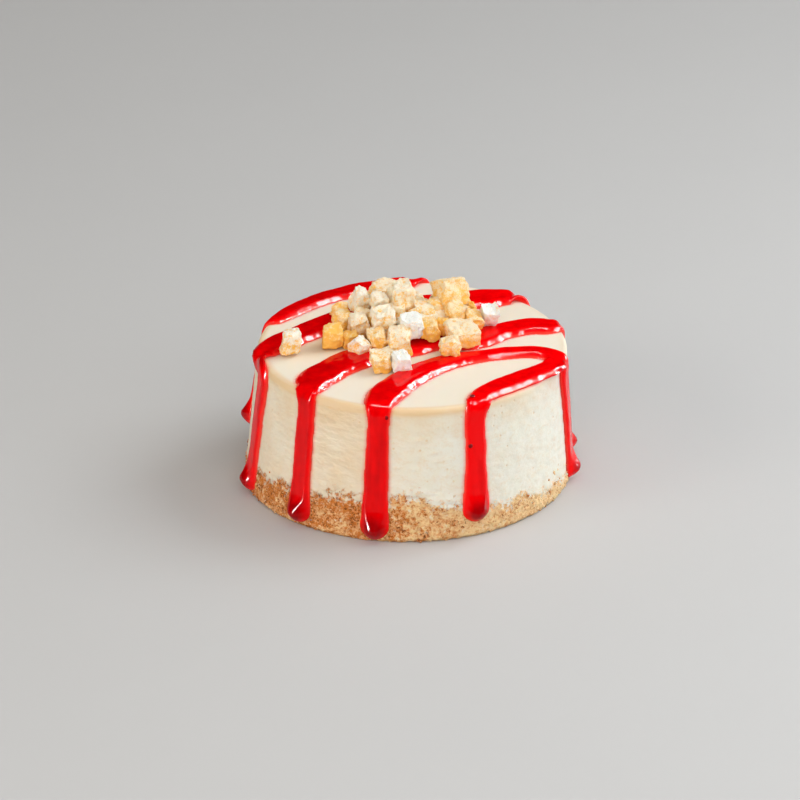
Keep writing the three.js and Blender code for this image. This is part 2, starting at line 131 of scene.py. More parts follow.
LOOSE_DIE = (-27.2, -5.8, 3.2, 4.4, 4.7, 6, 4, 0.75, 0.5, 0.05)
HEAP_DICE = (
    (-17.8, -2.0, 2.7, 4.7, 4.6, 12, 4, 0.2, 1.05, 0.1),
    (-16.2, 11.2, 3.0, 3.7, 4.0, 35, 14, 0.3, 0.75, 0.2),
    (-15.6, 6.4, 3.2, 4.0, 4.2, 50, 12, 0.4, 0.65, 0.2),
    (-11.8, 9.4, 7.0, 4.9, 5.0, 18, 12, 0.7, 0.3, 0.7),
    (-12.2, 2.5, 3.6, 4.5, 4.7, 20, 14, 0.6, 0.5, 0.1),
    (-6.6, 14.6, 6.4, 5.3, 4.0, 10, 10, 0.55, 0.65, 0.1),
    (-7.4, 7.6, 7.4, 3.8, 3.0, 24, 20, 0.6, 0.2, 0.3),
    (-2.2, 8.4, 7.2, 6.4, 7.4, 22, 4, 0.6, 0.45, 0.45),
    (-6.6, -0.8, 6.5, 5.0, 4.2, 16, 12, 0.65, 0.3, 0.1),
    (-3.6, 5.0, 5.4, 4.3, 4.4, 14, 10, 0.5, 0.5, 0.2),
    (-0.1, -1.4, 5.6, 4.9, 4.2, 24, 16, 1.0, 0.0, 0.05),
    (2.8, 6.0, 5.9, 4.9, 2.2, 8, 12, 0.6, 0.6, 0.1),
    (3.4, 3.4, 4.6, 4.6, 2.4, 12, 14, 0.6, 0.45, 0.2),
    (3.8, -0.6, 4.0, 4.2, 3.8, 10, 8, 0.35, 0.75, 0.1),
    (7.2, 1.6, 3.4, 3.2, 4.0, 62, 10, 0.2, 0.95, 0.1),
    (11.0, -2.6, 4.1, 6.8, 3.3, 14, 6, 0.5, 0.5, 0.1),
    (8.6, -8.0, 3.2, 4.2, 3.8, 6, 6, 0.5, 0.6, 0.1),
    (8.8, 10.6, 8.2, 6.1, 6.2, 28, -20, 0.45, 0.6, 0.0),
    (5.6, 7.8, 5.6, 4.2, 4.4, 30, 14, 0.4, 0.6, 0.2),
    (9.8, 4.6, 6.2, 4.2, 4.2, 34, 16, 0.4, 0.6, 0.2),
    (13.6, 10.8, 3.4, 3.0, 3.2, 44, 26, 0.0, 1.3, 0.8),
    (14.0, 5.6, 3.4, 3.8, 3.4, 18, 12, 0.4, 0.7, 0.1),
    (17.6, 7.6, 3.7, 4.5, 5.0, 10, 14, 1.0, 0.05, -1.0),
    (-7.8, -4.4, 3.4, 4.2, 3.5, 16, 14, 0.5, 0.65, 0.1),
    (-2.6, -5.2, 2.9, 5.2, 5.0, 6, 6, 0.65, 0.6, 0.05),
    (-11.7, -6.6, 2.6, 4.1, 3.7, 40, 26, 0.8, 0.4, 0.5),
    (-7.0, -14.4, 2.7, 5.0, 4.0, 18, 12, 0.6, 0.65, -0.6),
    (-2.2, -15.6, 2.7, 4.3, 4.3, 14, 10, 1.0, 0.0, 0.1),
    (-14.4, -1.2, 1.9, 3.9, 3.0, 24, 8, 0.1, 1.0, 0.2),
    (0.2, 14.6, 3.2, 5.2, 5.0, 15, 10, 0.6, 0.4, 0.1),
    (-9.6, 15.4, 2.8, 5.0, 5.0, 28, 14, 0.5, 0.5, 0.2),
    (6.6, 15.2, 3.0, 5.0, 5.0, 62, 12, 0.7, 0.3, 0.2),
    (10.4, 14.6, 2.8, 4.6, 4.6, 20, 8, 0.5, 0.5, 0.1),
)

# Small dice and bits low in the heap, where its core would show from above

LOW_DICE = (
    (-8.6, 4.2, 4.0, 3.7, 3.4, 30, 10, 0.4, 0.6, 0.1),
    (-9.2, 12.4, 4.2, 3.9, 3.5, 12, 14, 0.5, 0.5, 0.1),
    (-3.4, 12.8, 4.6, 4.0, 3.6, 34, 8, 0.5, 0.5, 0.1),
    (1.6, 12.6, 3.4, 3.8, 3.6, 20, 12, 0.4, 0.6, 0.1),
    (-11.6, 6.4, 4.0, 3.4, 3.0, 56, 14, 0.5, 0.5, 0.1),
    (-1.6, 2.2, 4.6, 3.6, 3.0, 38, 10, 0.5, 0.5, 0.1),
    (0.6, 4.4, 4.8, 3.2, 2.8, 12, 18, 0.4, 0.6, 0.2),
    (2.8, 9.4, 4.8, 4.0, 3.2, 40, 8, 0.5, 0.5, 0.1),
    (-6.0, 11.0, 5.0, 3.2, 2.8, 50, 10, 0.4, 0.6, 0.1),
    (6.2, 4.8, 4.0, 3.4, 3.0, 28, 14, 0.5, 0.5, 0.1),
    (11.6, 8.0, 3.4, 3.6, 3.2, 8, 12, 0.4, 0.6, 0.1),
    (-6.3, -10.5, 1.2, 2.7, 2.0, 35, 6, 0.6, 0.5, 0.1),
    (-4.0, -11.2, 1.1, 2.4, 1.9, 12, 10, 0.5, 0.5, 0.1),
    (-5.4, -8.2, 1.3, 2.8, 2.1, 62, 8, 0.5, 0.5, 0.1),
    (-3.5, -8.9, 1.1, 2.2, 1.9, 25, 12, 0.6, 0.4, 0.1),
)

# The heap's core as lobes: x, y, and how far each reaches across, along and up

HEAP_LOBES = ((-0.6, 7.6, 15.4, 8.6, 5.6), (-5.6, -9, 3.8, 6.4, 2.4))
CORE_SHARE = 0.84  # of a lobe's reach, so that the core stays hidden under the dice
CORE_STEPS = 36
# The core is golden like the shade between the dice: partly painted shade
CORE_LOOK = (0.4, 0.65, 0.3)  # how white, how golden and how pitted it is
USUAL_WIDTH = 4.4  # of a die. Wider ones are worn by as much and no more

# Small bubbles caught in the sauce, each on the cake at an angle from the front and
# a height on the side, or at x and y on the top, with its radius.

SIDE_BUBBLES = ((-9.1, 30.2, 0.5), (21.5, 22.5, 0.5))
TOP_BUBBLES = ((13.4, -30.6, 0.6),)
BUBBLE_SUNK = 0.05  # its middle below the sauce's surface
BUBBLE_FLAT = 0.3  # its height as a share of its radius


def length(name, description, default_mm):
    """A size that the panel shows as a length."""
    return FloatProperty(
        name=name, description=description, default=default_mm * MM, unit="LENGTH", precision=5
    )


def plain(name, description, default):
    """A plain number in the panel."""
    return FloatProperty(name=name, description=description, default=default)


def colour(name, description, default):
    """A colour that the panel shows as a swatch."""
    return FloatVectorProperty(
        name=name, description=description, default=default, size=3, min=0, max=1, subtype="COLOR"
    )


class CakeSizes(bpy.types.PropertyGroup):
    """The cake's body."""

    foot_radius: length("Foot radius", "Radius of the cake at the floor", 37)
    top_radius: length("Top radius", "Radius where the side would meet the top", 35)
    height: length("Height", "Height of the flat top", 32)
    rim: length("Rim", "Radius of the soft edge between top and side", 1.2)
    lean: length("Lean", "How far the top's middle stands to the right of the foot's", 1.1)
    wall_relief: length("Wall relief", "Depth of the uneven places in the cheese's side", 0.17)
    columns: IntProperty(name="Columns", description="Points round the cake", default=640, min=64)


class CrustSizes(bpy.types.PropertyGroup):
    """The biscuit base."""

    height: length("Height", "Mean height of the crust at the side", 6.9)
    swell: length("Swell", "How much thicker it is in front and behind", 3.2)
    swell_angle: FloatProperty(
        name="Swell angle", description="Where it is thickest", default=math.radians(-16), subtype="ANGLE"
    )
    relief: length("Relief", "How far crumbs stand out of the side", 0.55)
    ragged: length("Ragged", "How far the edge against the cheese strays up and down", 1.2)
    crumb: length("Crumb", "Radius of the largest loose crumbs", 0.42)
    crumbs_per_cm2: FloatProperty(
        name="Crumbs", description="Loose crumbs on each square centimetre", default=152, min=0
    )


class SauceSizes(bpy.types.PropertyGroup):
    """The strands of sauce."""

    run_width: length("Run width", "Width of a run down the side", 5.2)
    top_thickness: length("Top thickness", "Thickness of a strand on the top", 1.4)
    run_thickness: length("Run thickness", "Thickness of a run down the side", 0.95)
    sunk: length("Sunk", "How deep a strand reaches into the cake", 0.7)
    bead_width: length("Bead width", "Width of the bead that ends a run", 6.6)
    bead_thickness: length("Bead thickness", "Thickness of that bead", 3.0)
    bead_place: length("Bead place", "From the end of a run to its widest part", 3.4)
    bulge_place: length("Bulge place", "From the end of a run to where it stands out most", 2.6)
    bulge_swell: length("Bulge swell", "Length over which a bead grows thick, at most", 2.6)
    end_round: length("End round", "Length of a strand's rounded end", 3.3)
    edge_slope: plain("Edge slope", "How steep a strand is at its edge", 1.0)
    voxel: length("Voxel", "Fineness at which the strands flow together", 0.32)


class FruitSizes(bpy.types.PropertyGroup):
    """The dried fruit dice."""

    uneven: plain("Uneven", "How far a corner strays, as a share", 0.2)
    rounding: plain("Rounding", "How round the edges are worn", 0.52)
    plump: plain("Plump", "How much fuller a die is before it is worn", 1.13)
    chipped: plain("Chipped", "How far corners are broken off, as a share", 0.6)
    dish: plain("Dish", "How far a face has shrunk in, as a share", 0.07)
    warp: length("Warp", "How far a die has dried out of shape", 0.65)
    grain: length("Grain", "Height of the rough porous grain", 0.34)
    steps: IntProperty(name="Steps", description="Points along an edge of a die", default=21, min=3)
    low_steps: IntProperty(name="Low steps", description="The same for the low dice", default=13, min=3)


class FoodColours(bpy.types.PropertyGroup):
    """The colours of the food."""

    cheese: colour("Cheese", "Baked cheese filling", (0.80, 0.765, 0.655))
    # The darker colour serves the baked rim and also the painted shade on the cheese
    cheese_baked_and_shade: colour("Baked rim", "The browner edge below the rim", (0.73, 0.53, 0.31))
    sauce: colour("Sauce", "Fruit sauce at its usual thickness", (0.88, 0.0, 0.001))
    sauce_deep: colour("Deep sauce", "Fruit sauce in a thick bead", (0.33, 0.0, 0.001))
    sauce_thin: colour("Thin sauce", "Fruit sauce where it thins out", (0.86, 0.08, 0.05))
    biscuit: colour("Biscuit", "Biscuit crumb base", (0.68, 0.21, 0.038))
    biscuit_pale: colour("Pale crumb", "Pale crumbs and sugar in the base", (0.97, 0.66, 0.335))
    # Also the colour of the painted shade in the hollows of the crust
    biscuit_dark: colour("Dark crumb", "Dark crumbs and hollows in the base", (0.13, 0.026, 0.007))
    fruit_white: colour("White fruit", "The palest fruit dice", (0.90, 0.91, 0.85))
    fruit_cream: colour("Cream fruit", "Most of the fruit dice", (0.98, 0.78, 0.46))
    fruit_gold: colour("Golden fruit", "The golden places of the dice", (0.99, 0.54, 0.09))
    floor: colour("Floor", "The plain floor under the cake", (0.50, 0.49, 0.475))


class Cheesecake(bpy.types.PropertyGroup):
    """All the sizes and colours of the cheesecake."""

    cake: PointerProperty(type=CakeSizes)
    crust: PointerProperty(type=CrustSizes)
    sauce: PointerProperty(type=SauceSizes)
    fruit: PointerProperty(type=FruitSizes)
    colours: PointerProperty(type=FoodColours)


# Node trees


class Wire:
    """A number in a node tree. Python's operators add Math nodes to the tree."""

    def __init__(self, graph, output):
        self.graph = graph
        self.output = output

    def math(self, operation, *values):
        made = self.graph.node("ShaderNodeMath", {"operation": operation}, dict(enumerate(values)))
        return Wire(self.graph, made.outputs[0])

    def __add__(self, other):
        return self.math("ADD", self, other)

    def __sub__(self, other):
        return self.math("SUBTRACT", self, other)

    def __rsub__(self, other):
        return self.math("SUBTRACT", other, self)

    def __mul__(self, other):
        return self.math("MULTIPLY", self, other)

    def __truediv__(self, other):
        return self.math("DIVIDE", self, other)

    __radd__ = __add__
    __rmul__ = __mul__

    def clamped(self):
        positive = self.math("MAXIMUM", self, 0.0)
        return self.math("MINIMUM", positive, 1.0)

    def above(self, low, high):
        """0 below low and 1 above high, with a smooth step between."""
        made = self.graph.node(
            "ShaderNodeMapRange",
            {"interpolation_type": "SMOOTHSTEP"},
            {"Value": self, "From Min": low, "From Max": high},
        )
        return Wire(self.graph, made.outputs[0])


class Graph:
    """A node tree that nodes are added to by one method."""

    def __init__(self, tree):
        self.tree = tree

    def node(self, kind, settings=None, inputs=None):
        """Adds a node: its settings first, then a value or a link for each socket named or numbered."""
        made = self.tree.nodes.new(kind)
        for name, value in (settings or {}).items():
            setattr(made, name, value)
        for key, value in (inputs or {}).items():
            self.feed(self.socket(made.inputs, key), value)
        return made

    def socket(self, sockets, key):
        if isinstance(key, int):
            return sockets[key]
        found = [s for s in sockets if s.identifier == key] or [s for s in sockets if s.name == key]
        return found[0]

    def feed(self, socket, value):
        if isinstance(value, Wire):
            self.tree.links.new(value.output, socket)
        elif isinstance(value, bpy.types.NodeSocket):
            self.tree.links.new(value, socket)
        else:
            socket.default_value = value


class Finish(Graph):
    """A material with one Principled surface, and the textures that feed it."""

    def __init__(self, name, **uniform):
        self.material = bpy.data.materials.new(name)
        self.material.use_nodes = True
        super().__init__(self.material.node_tree)
        self.surface = self.tree.nodes["Principled BSDF"]
        self.place = self.node("ShaderNodeTexCoord").outputs["Object"]
        self.finish(**uniform)

    def attribute(self, name):
        return Wire(self, self.node("ShaderNodeAttribute", {"attribute_name": name}).outputs["Fac"])

    def noise(self, size_mm, detail=3.0, roughness=0.5, stretch=None):
        """Noise from 0 to 1 whose lumps are about as large as given, and smaller where it is stretched."""
        place = self.place
        if stretch:
            place = self.node("ShaderNodeMapping", {}, {"Vector": place, "Scale": stretch}).outputs[0]
        sizes = {"Scale": 1 / (size_mm * MM), "Detail": detail, "Roughness": roughness}
        made = self.node("ShaderNodeTexNoise", {}, {"Vector": place, **sizes})
        return Wire(self, made.outputs["Fac"])

    def cells(self, size_mm):
        """Distance to the middle of a cell, and a number for each cell, both from 0 to 1."""
        made = self.node("ShaderNodeTexVoronoi", {}, {"Vector": self.place, "Scale": 1 / (size_mm * MM)})
        each = self.node("ShaderNodeSeparateColor", {}, {0: made.outputs["Color"]})
        return Wire(self, made.outputs["Distance"]), Wire(self, each.outputs[0])

    def mix(self, factor, first, second, blend="MIX"):
        """A colour between two colours, or the first one blended with the second in another way."""
        made = self.node(
            "ShaderNodeMix",
            {"data_type": "RGBA", "clamp_factor": True, "blend_type": blend},
            {"Factor_Float": factor, "A_Color": rgba(first), "B_Color": rgba(second)},
        )
        return self.socket(made.outputs, "Result_Color")

    def bump(self, height, depth_mm, below=None):
        """A normal that shows a height, over the one below it if there is one."""
        inputs = {"Height": height, "Distance": depth_mm * MM, "Strength": 1.0}
        if below is not None:
            inputs["Normal"] = below
        return self.node("ShaderNodeBump", {}, inputs).outputs[0]

    def finish(self, **values):
        """Feeds the surface's sockets with values or links and returns the material."""
        for key, value in values.items():
            label = key.replace("_", " ").title().replace("Ior", "IOR")
            self.feed(self.socket(self.surface.inputs, label), value)
        return self.material


class ShapeTree(Graph):
    """A Geometry Nodes tree with named inputs, which ends in a plain mesh with a material."""

    def __init__(self, name, inputs):
        super().__init__(bpy.data.node_groups.new(name, "GeometryNodeTree"))
        face = self.tree.interface
        for label, kind in {"Geometry": "Geometry", **inputs, "Material": "Material"}.items():
            face.new_socket(label, in_out="INPUT", socket_type="NodeSocket" + kind)
        face.new_socket("Geometry", in_out="OUTPUT", socket_type="NodeSocketGeometry")
        self.given = self.node("NodeGroupInput").outputs

    def first_enabled(self, kind, settings, inputs):
        made = self.node(kind, settings, inputs)
        return [output for output in made.outputs if output.enabled][0]

    def named(self, name, kind="FLOAT"):
        """A value that the geometry carries."""
        return self.first_enabled("GeometryNodeInputNamedAttribute", {"data_type": kind}, {"Name": name})

    def store(self, geometry, name, value, kind, domain):
        """Makes the geometry carry a value."""
        settings = {"data_type": kind, "domain": domain}
        inputs = {"Geometry": geometry, "Name": name, "Value": value}
        return self.node("GeometryNodeStoreNamedAttribute", settings, inputs).outputs[0]

    def drawn(self, low, high, seed):
        """Even draws, of vectors where the limits are rows."""
        kind, ends = ("FLOAT_VECTOR", "") if isinstance(low, tuple) else ("FLOAT", "_001")
        inputs = {"Min" + ends: low, "Max" + ends: high, "Seed": seed}
        return self.first_enabled("FunctionNodeRandomValue", {"data_type": kind}, inputs)

    def scaled(self, vector, scale):
        inputs = {0: vector, "Scale": scale}
        return self.node("ShaderNodeVectorMath", {"operation": "SCALE"}, inputs).outputs[0]

    def added(self, first, second):
        return self.node("ShaderNodeVectorMath", {"operation": "ADD"}, {0: first, 1: second}).outputs[0]

    def realized(self, geometry):
        return self.node("GeometryNodeRealizeInstances", {}, {0: geometry}).outputs[0]

    def end(self, geometry):
        """Gives the geometry its material, closes the tree and returns it."""
        inputs = {"Geometry": geometry, "Material": self.given["Material"]}
        made = self.node("GeometryNodeSetMaterial", {}, inputs).outputs[0]
        self.node("NodeGroupOutput", {}, {"Geometry": made})
        return self.tree


def rgba(value):
    """A plain colour with its alpha, or a link as it is."""
    if isinstance(value, bpy.types.NodeSocket):
        return value
    return (*value, 1.0)


# Meshes


def new_piece(name, vertices, faces, material, smooth=True, edges=()):
    """A mesh object from vertices in millimetres."""
    mesh = bpy.data.meshes.new(name)
    mesh.from_pydata((np.asarray(vertices, float) * MM).tolist(), edges, faces)
    mesh.materials.append(material)
    mesh.polygons.foreach_set("use_smooth", [smooth] * len(mesh.polygons))
    mesh.update()
    piece = bpy.data.objects.new(name, mesh)
    bpy.context.scene.collection.objects.link(piece)
    return piece


def set_numbers(piece, name, values, kind="FLOAT"):
    """Stores a number or a vector for each vertex."""
    attribute = piece.data.attributes.new(name, kind, "POINT")
    key = "vector" if kind == "FLOAT_VECTOR" else "value"
    attribute.data.foreach_set(key, np.asarray(values, np.float32).ravel())


def numbers_in(items, key, width):
    """A number or a vector of each item, as rows."""
    flat = np.empty(len(items) * width, np.float32)
    items.foreach_get(key, flat)
    return flat.reshape(-1, width).astype(float)


def vertices_of(piece):
    """A piece's vertices in millimetres."""
    return numbers_in(piece.data.vertices, "co", 3) / MM


def move_vertices(piece, vertices):
    piece.data.vertices.foreach_set("co", (vertices * MM).astype(np.float32).ravel())
    piece.data.update()


def grid_faces(rows, columns):
    """Quads between closed rings of points, each ring after the one before it."""
    faces = []
    for row in range(rows - 1):
        for column in range(columns):
            following = (column + 1) % columns
            here, there = row * columns, (row + 1) * columns
            faces.append((here + column, here + following, there + following, there + column))
    return faces


def closed_faces(rows, columns, going_down=False):
    """Rings closed at both ends by fans from two points that come after the rings, facing out."""
    faces = grid_faces(rows, columns)
    first, last = rows * columns, rows * columns + 1
    end = (rows - 1) * columns
    for column in range(columns):
        following = (column + 1) % columns
        faces.append((first, following, column))
        faces.append((last, end + column, end + following))
    return [face[::-1] for face in faces] if going_down else faces


def joined(parts):
    """The vertices and the faces of several parts as those of one mesh."""
    faces, count = [], 0
    for vertices, part_faces in parts:
        faces += [tuple(count + n for n in face) for face in part_faces]
        count += len(vertices)
    return np.concatenate([vertices for vertices, _ in parts]), faces


def noise_at(points, size, seed):
    """Noise from about -1 to 1 at each point, with lumps of a size in millimetres."""
    shift = Vector((seed * 17.3, seed * 5.1, seed * 9.7))
    return np.array([noise.noise(Vector(p) / size + shift) for p in points])


def noise_sum(points, *layers):
    """The sum of some noises, each given as the size of its lumps, its seed and its height."""
    return sum(noise_at(points, size, seed) * height for size, seed, height in layers)


def bake_modifiers(piece):
    """Makes a piece's evaluated mesh its own plain mesh and removes its modifiers."""
    graph = bpy.context.evaluated_depsgraph_get()
    mesh = bpy.data.meshes.new_from_object(
        piece.evaluated_get(graph), preserve_all_data_layers=True, depsgraph=graph
    )
    piece.modifiers.clear()
    old = piece.data
    piece.data = mesh
    bpy.data.meshes.remove(old)
    mesh.name = piece.name


def run_tree(piece, tree, **inputs):
    """Adds a Geometry Nodes modifier and sets its inputs by their sockets' identifiers."""
    modifier = piece.modifiers.new(tree.name, "NODES")
    modifier.node_group = tree
    for item in tree.interface.items_tree:
        if item.in_out == "INPUT" and item.name in inputs:
            modifier[item.identifier] = inputs[item.name]


def ride_on_cake(piece, node):
    """Ties a finished piece to the root body and hides the solid that it stands for."""
    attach(piece, "root")
    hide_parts(node)


# The cake's outside


def ripple(angle, waves):
    """The sum of some waves at angles round the cake."""
    return sum(size * np.sin(count * angle + phase) for size, count, phase in waves)


def smooth_step(value, low, high):
    """0 below low and 1 above high, with a smooth step between."""
    share = np.clip((value - low) / (high - low), 0, 1)
    return share * share * (3 - 2 * share)


class CakeForm:
    """The outside of the cake as functions of a place on it."""

    def __init__(self, sizes):
        self.foot = sizes.foot_radius / MM
        self.height = sizes.height / MM
        self.rim = sizes.rim / MM
        self.lean = sizes.lean / MM
        self.taper = (self.foot - sizes.top_radius / MM) / self.height
        self.slant = math.hypot(1, self.taper)
        self.rim_centre = self.foot - self.taper * (self.height - self.rim) - self.rim * self.slant
        self.rim_turn = math.pi / 2 - math.atan(self.taper)
        self.rim_length = self.rim_centre + self.rim * self.rim_turn
        self.side_top = self.height - self.rim + self.rim * math.cos(self.rim_turn)

    def profile(self, distance):
        """Radius, height and outward direction at distances from the top's middle along the surface."""
        turn = np.clip((distance - self.rim_centre) / self.rim, 0, self.rim_turn)
        down = np.maximum(distance - self.rim_length, 0) / self.slant
        r = np.minimum(distance, self.rim_centre) + self.rim * np.sin(turn) + self.taper * down
        z = self.height - self.rim + self.rim * np.cos(turn) - down
        return r, z, np.sin(turn), np.cos(turn)

    def distance_down_to(self, height):
        return self.rim_length + (self.side_top - height) * self.slant

    def point(self, r, theta, z):
        radius = r * (1 + ripple(theta, OUTLINE_WAVES))
        return np.stack([radius * np.cos(theta) + self.lean * z / self.height, radius * np.sin(theta), z], -1)

    def level_ring(self, radius, angles, height):
        return self.point(radius, angles, np.full(len(angles), height))

    def surface(self, u, v):
        """The surface unrolled like a round cloth: points on it and their normals."""
        theta = np.arctan2(v, u)
        r, z, out, up = self.profile(np.hypot(u, v))
        return self.point(r, theta, z), np.stack([out * np.cos(theta), out * np.sin(theta), up], -1)

    def height_over(self, points):
        """How far points stand out of the cake's surface."""
        x = points[:, 0] - self.lean * points[:, 2] / self.height
        theta = np.arctan2(points[:, 1], x)
        r = np.hypot(x, points[:, 1]) / (1 + ripple(theta, OUTLINE_WAVES))
        z = points[:, 2]
        side = (r - self.foot + self.taper * z) / self.slant
        corner = np.hypot(r - self.rim_centre, z - self.height + self.rim) - self.rim
        in_corner = (r > self.rim_centre) & (z > self.height - self.rim)
        return np.where(in_corner, corner, np.maximum(side, z - self.height))


def from_front(angle):
    """An angle in degrees from the front towards +X, in radians from +X."""
    return math.radians(angle - 90)


def angles_round(columns):
    """Even angles all the way round."""
    return np.arange(columns) * 2 * math.pi / columns


def away_from_middle(angles, rows):
    """The level direction away from the middle, for each point of some rings."""
    return np.tile(np.stack([np.cos(angles), np.sin(angles), angles * 0], -1), (rows, 1))


def side_band(form, angles, low, high, rows, proud=0.0):
    """Rings of points up the cake's side from one height to another."""
    rings = []
    for row in range(rows + 1):
        z = low + (high - low) * row / rows
        rings.append(form.point(form.foot - form.taper * z + proud, angles, z))
    return np.concatenate(rings)


def crust_line(theta, crust):
    """Height of the crust's top edge at an angle."""
    angle = theta + math.pi / 2
    swell = crust.swell / MM * np.cos(2 * (angle - crust.swell_angle))
    return crust.height / MM + swell + ripple(angle, CRUST_WAVES)


def ragged_edge(form, theta, crust):
    """Height where cheese and crust meet, which strays a little from the crust's line."""
    round_about = np.stack([form.foot * np.cos(theta), form.foot * np.sin(theta), theta * 0], -1)
    stray = noise_sum(round_about, (4.2, 14.0, 1.0), (1.7, 15.0, 0.6))
    return crust_line(theta, crust) + crust.ragged / MM * stray


def set_above(piece, form, crust):
    """Stores how far each vertex is above the crust's edge, its painted light, and its baking and painted
    shade.
    """
    x, y, z = vertices_of(piece).T
    theta = np.arctan2(y, x)
    set_numbers(piece, "above", z - ragged_edge(form, theta, crust))
    # Painted light: the right side is made paler, as the light from the right falls on it
    set_numbers(piece, "painted_light", smooth_step(np.cos(theta - from_front(PAINTED_LIGHT_SIDE)), 0.1, 0.95))
    # Painted shade: the left side of the cheese is darker and browner, away from the light, and a patch on
    # the top beside the heap is darker where its shade falls
    on_side = 0.42 * smooth_step(np.cos(theta - from_front(PAINTED_SHADE_SIDE)), -0.1, 0.8)
    patch_x, patch_y = PAINTED_SHADE_PATCH
    on_top = 0.25 + 0.45 * np.exp(-(((x - patch_x) / 8) ** 2 + ((y - patch_y) / 9) ** 2))
    set_numbers(piece, "baked_and_shaded", np.where(form.height - z < 0.6, on_top, on_side))


# The cheese filling


def cheese_share(finish):
    """Where cheese gives way to biscuit: 1 is all cheese. Crumbs of each reach into the other."""
    speckle = finish.noise(1.0, detail=5.0, roughness=0.75)
    patch = finish.noise(3.4, detail=2.0)
    stray = (speckle - 0.5) * 2.8 + (patch - 0.5) * 1.6
    return (finish.attribute("above") * 0.26 + stray).above(-0.3, 0.3)


def cheese_look(finish, colours):
    """Smooth baked cheese: its tone, and the height of its curds and pores."""
    wall, baked_and_shaded, rim, stain = (finish.attribute(name) for name in ("wall", "baked_and_shaded", "rim", "stain"))
    cloudy = finish.noise(7.0, detail=4.0)
    fine = finish.noise(0.6, detail=4.0, roughness=0.65)
    curds = finish.noise(2.4, detail=2.0, roughness=0.5, stretch=(1.0, 1.0, 1.8))
    distance, each = finish.cells(1.5)
    pores = (1 - distance.above(0.10, 0.26)) * each.above(0.82, 0.86) * wall
    # Painted shade on the left side and in the patch beside the heap mixes the cheese towards its darker
    # colour, over clouds of its own tone
    clouds_and_shade = (baked_and_shaded + (cloudy - 0.5) * wall * 0.8).clamped()
    browned_and_shaded = (rim * (cloudy * 0.9 + 0.45)).clamped()
    specks = ((0.52 - fine) * 2.0 + (curds - 0.5) * 1.5).clamped() * wall
    tone = colours.cheese
    # The pores are painted darker, which is painted shade in them; the specks are the cheese's own tone
    for share in (clouds_and_shade, browned_and_shaded, pores * 0.7, specks * 0.6):
        tone = finish.mix(share, tone, colours.cheese_baked_and_shade)
    tone = finish.mix(stain, tone, colours.sauce_thin)
    return tone, fine * (wall * 0.75 + 0.25) * 0.05 + curds * wall * (baked_and_shaded * 0.9 + 0.14) - pores * 0.08


def biscuit_look(finish, colours, grain_mm):
    """Pressed biscuit crumbs, pale and dark: their tone, and the height of their grain."""
    coarse = finish.noise(1.9, detail=3.0, roughness=0.6)
    fine = finish.noise(grain_mm, detail=4.0, roughness=0.75)
    _, each = finish.cells(0.55)
    tone, above, painted_light = (finish.attribute(name) for name in ("tone", "above", "painted_light"))
    # Painted light makes the right side paler and keeps the moist band and the dark crumbs away from it
    moist = above.above(-5.0, -0.3) * (1 - painted_light)
    patch = finish.noise(4.0, detail=2.0)
    pale = (each - 0.5) * 0.7 + (fine - 0.5) * 3.4 + (tone - 0.5) * 0.8 + (coarse - 0.5) * 2.0
    pale = (pale + (patch - 0.5) * 1.6 + 0.24 - moist * 0.3 + painted_light * 0.7).clamped()
    base = finish.mix(pale, colours.biscuit, colours.biscuit_pale)
    # Dark crumbs at random, and painted shade where the crust's tone is low in its hollows
    dark = (0.465 - coarse) * 7.0 + (0.455 - fine) * 13.0 + (0.36 - tone) * 1.6 + (0.5 - patch) * 1.2
    dark = (dark + moist * 0.4 - painted_light * 0.8).clamped()
    base = finish.mix(dark * 0.92, base, colours.biscuit_dark)
    sugar = each.above(0.95, 0.98) * fine.above(0.45, 0.55) * 0.4
    return finish.mix(sugar, base, colours.fruit_white), coarse * 0.2 + fine * 0.5


def food_finish(name, colours):
    """Cheese that gives way to biscuit, the same on both pieces, so that they blend where they meet."""
    finish = Finish(
        name,
        ior=1.42,
        subsurface_weight=0.3,
        subsurface_radius=(1.0, 0.62, 0.38),
        subsurface_scale=1.2 * MM,
        specular_ior_level=0.06,
    )
    share = cheese_share(finish)
    cheese, cheese_height = cheese_look(finish, colours)
    biscuit, biscuit_height = biscuit_look(finish, colours, grain_mm=0.45)
    height = cheese_height * share + biscuit_height * (1 - share) + share * 0.25
    tone = finish.mix(share, biscuit, cheese)
    return finish.finish(base_color=tone, normal=finish.bump(height, 1.0), roughness=0.85 - share * 0.35)


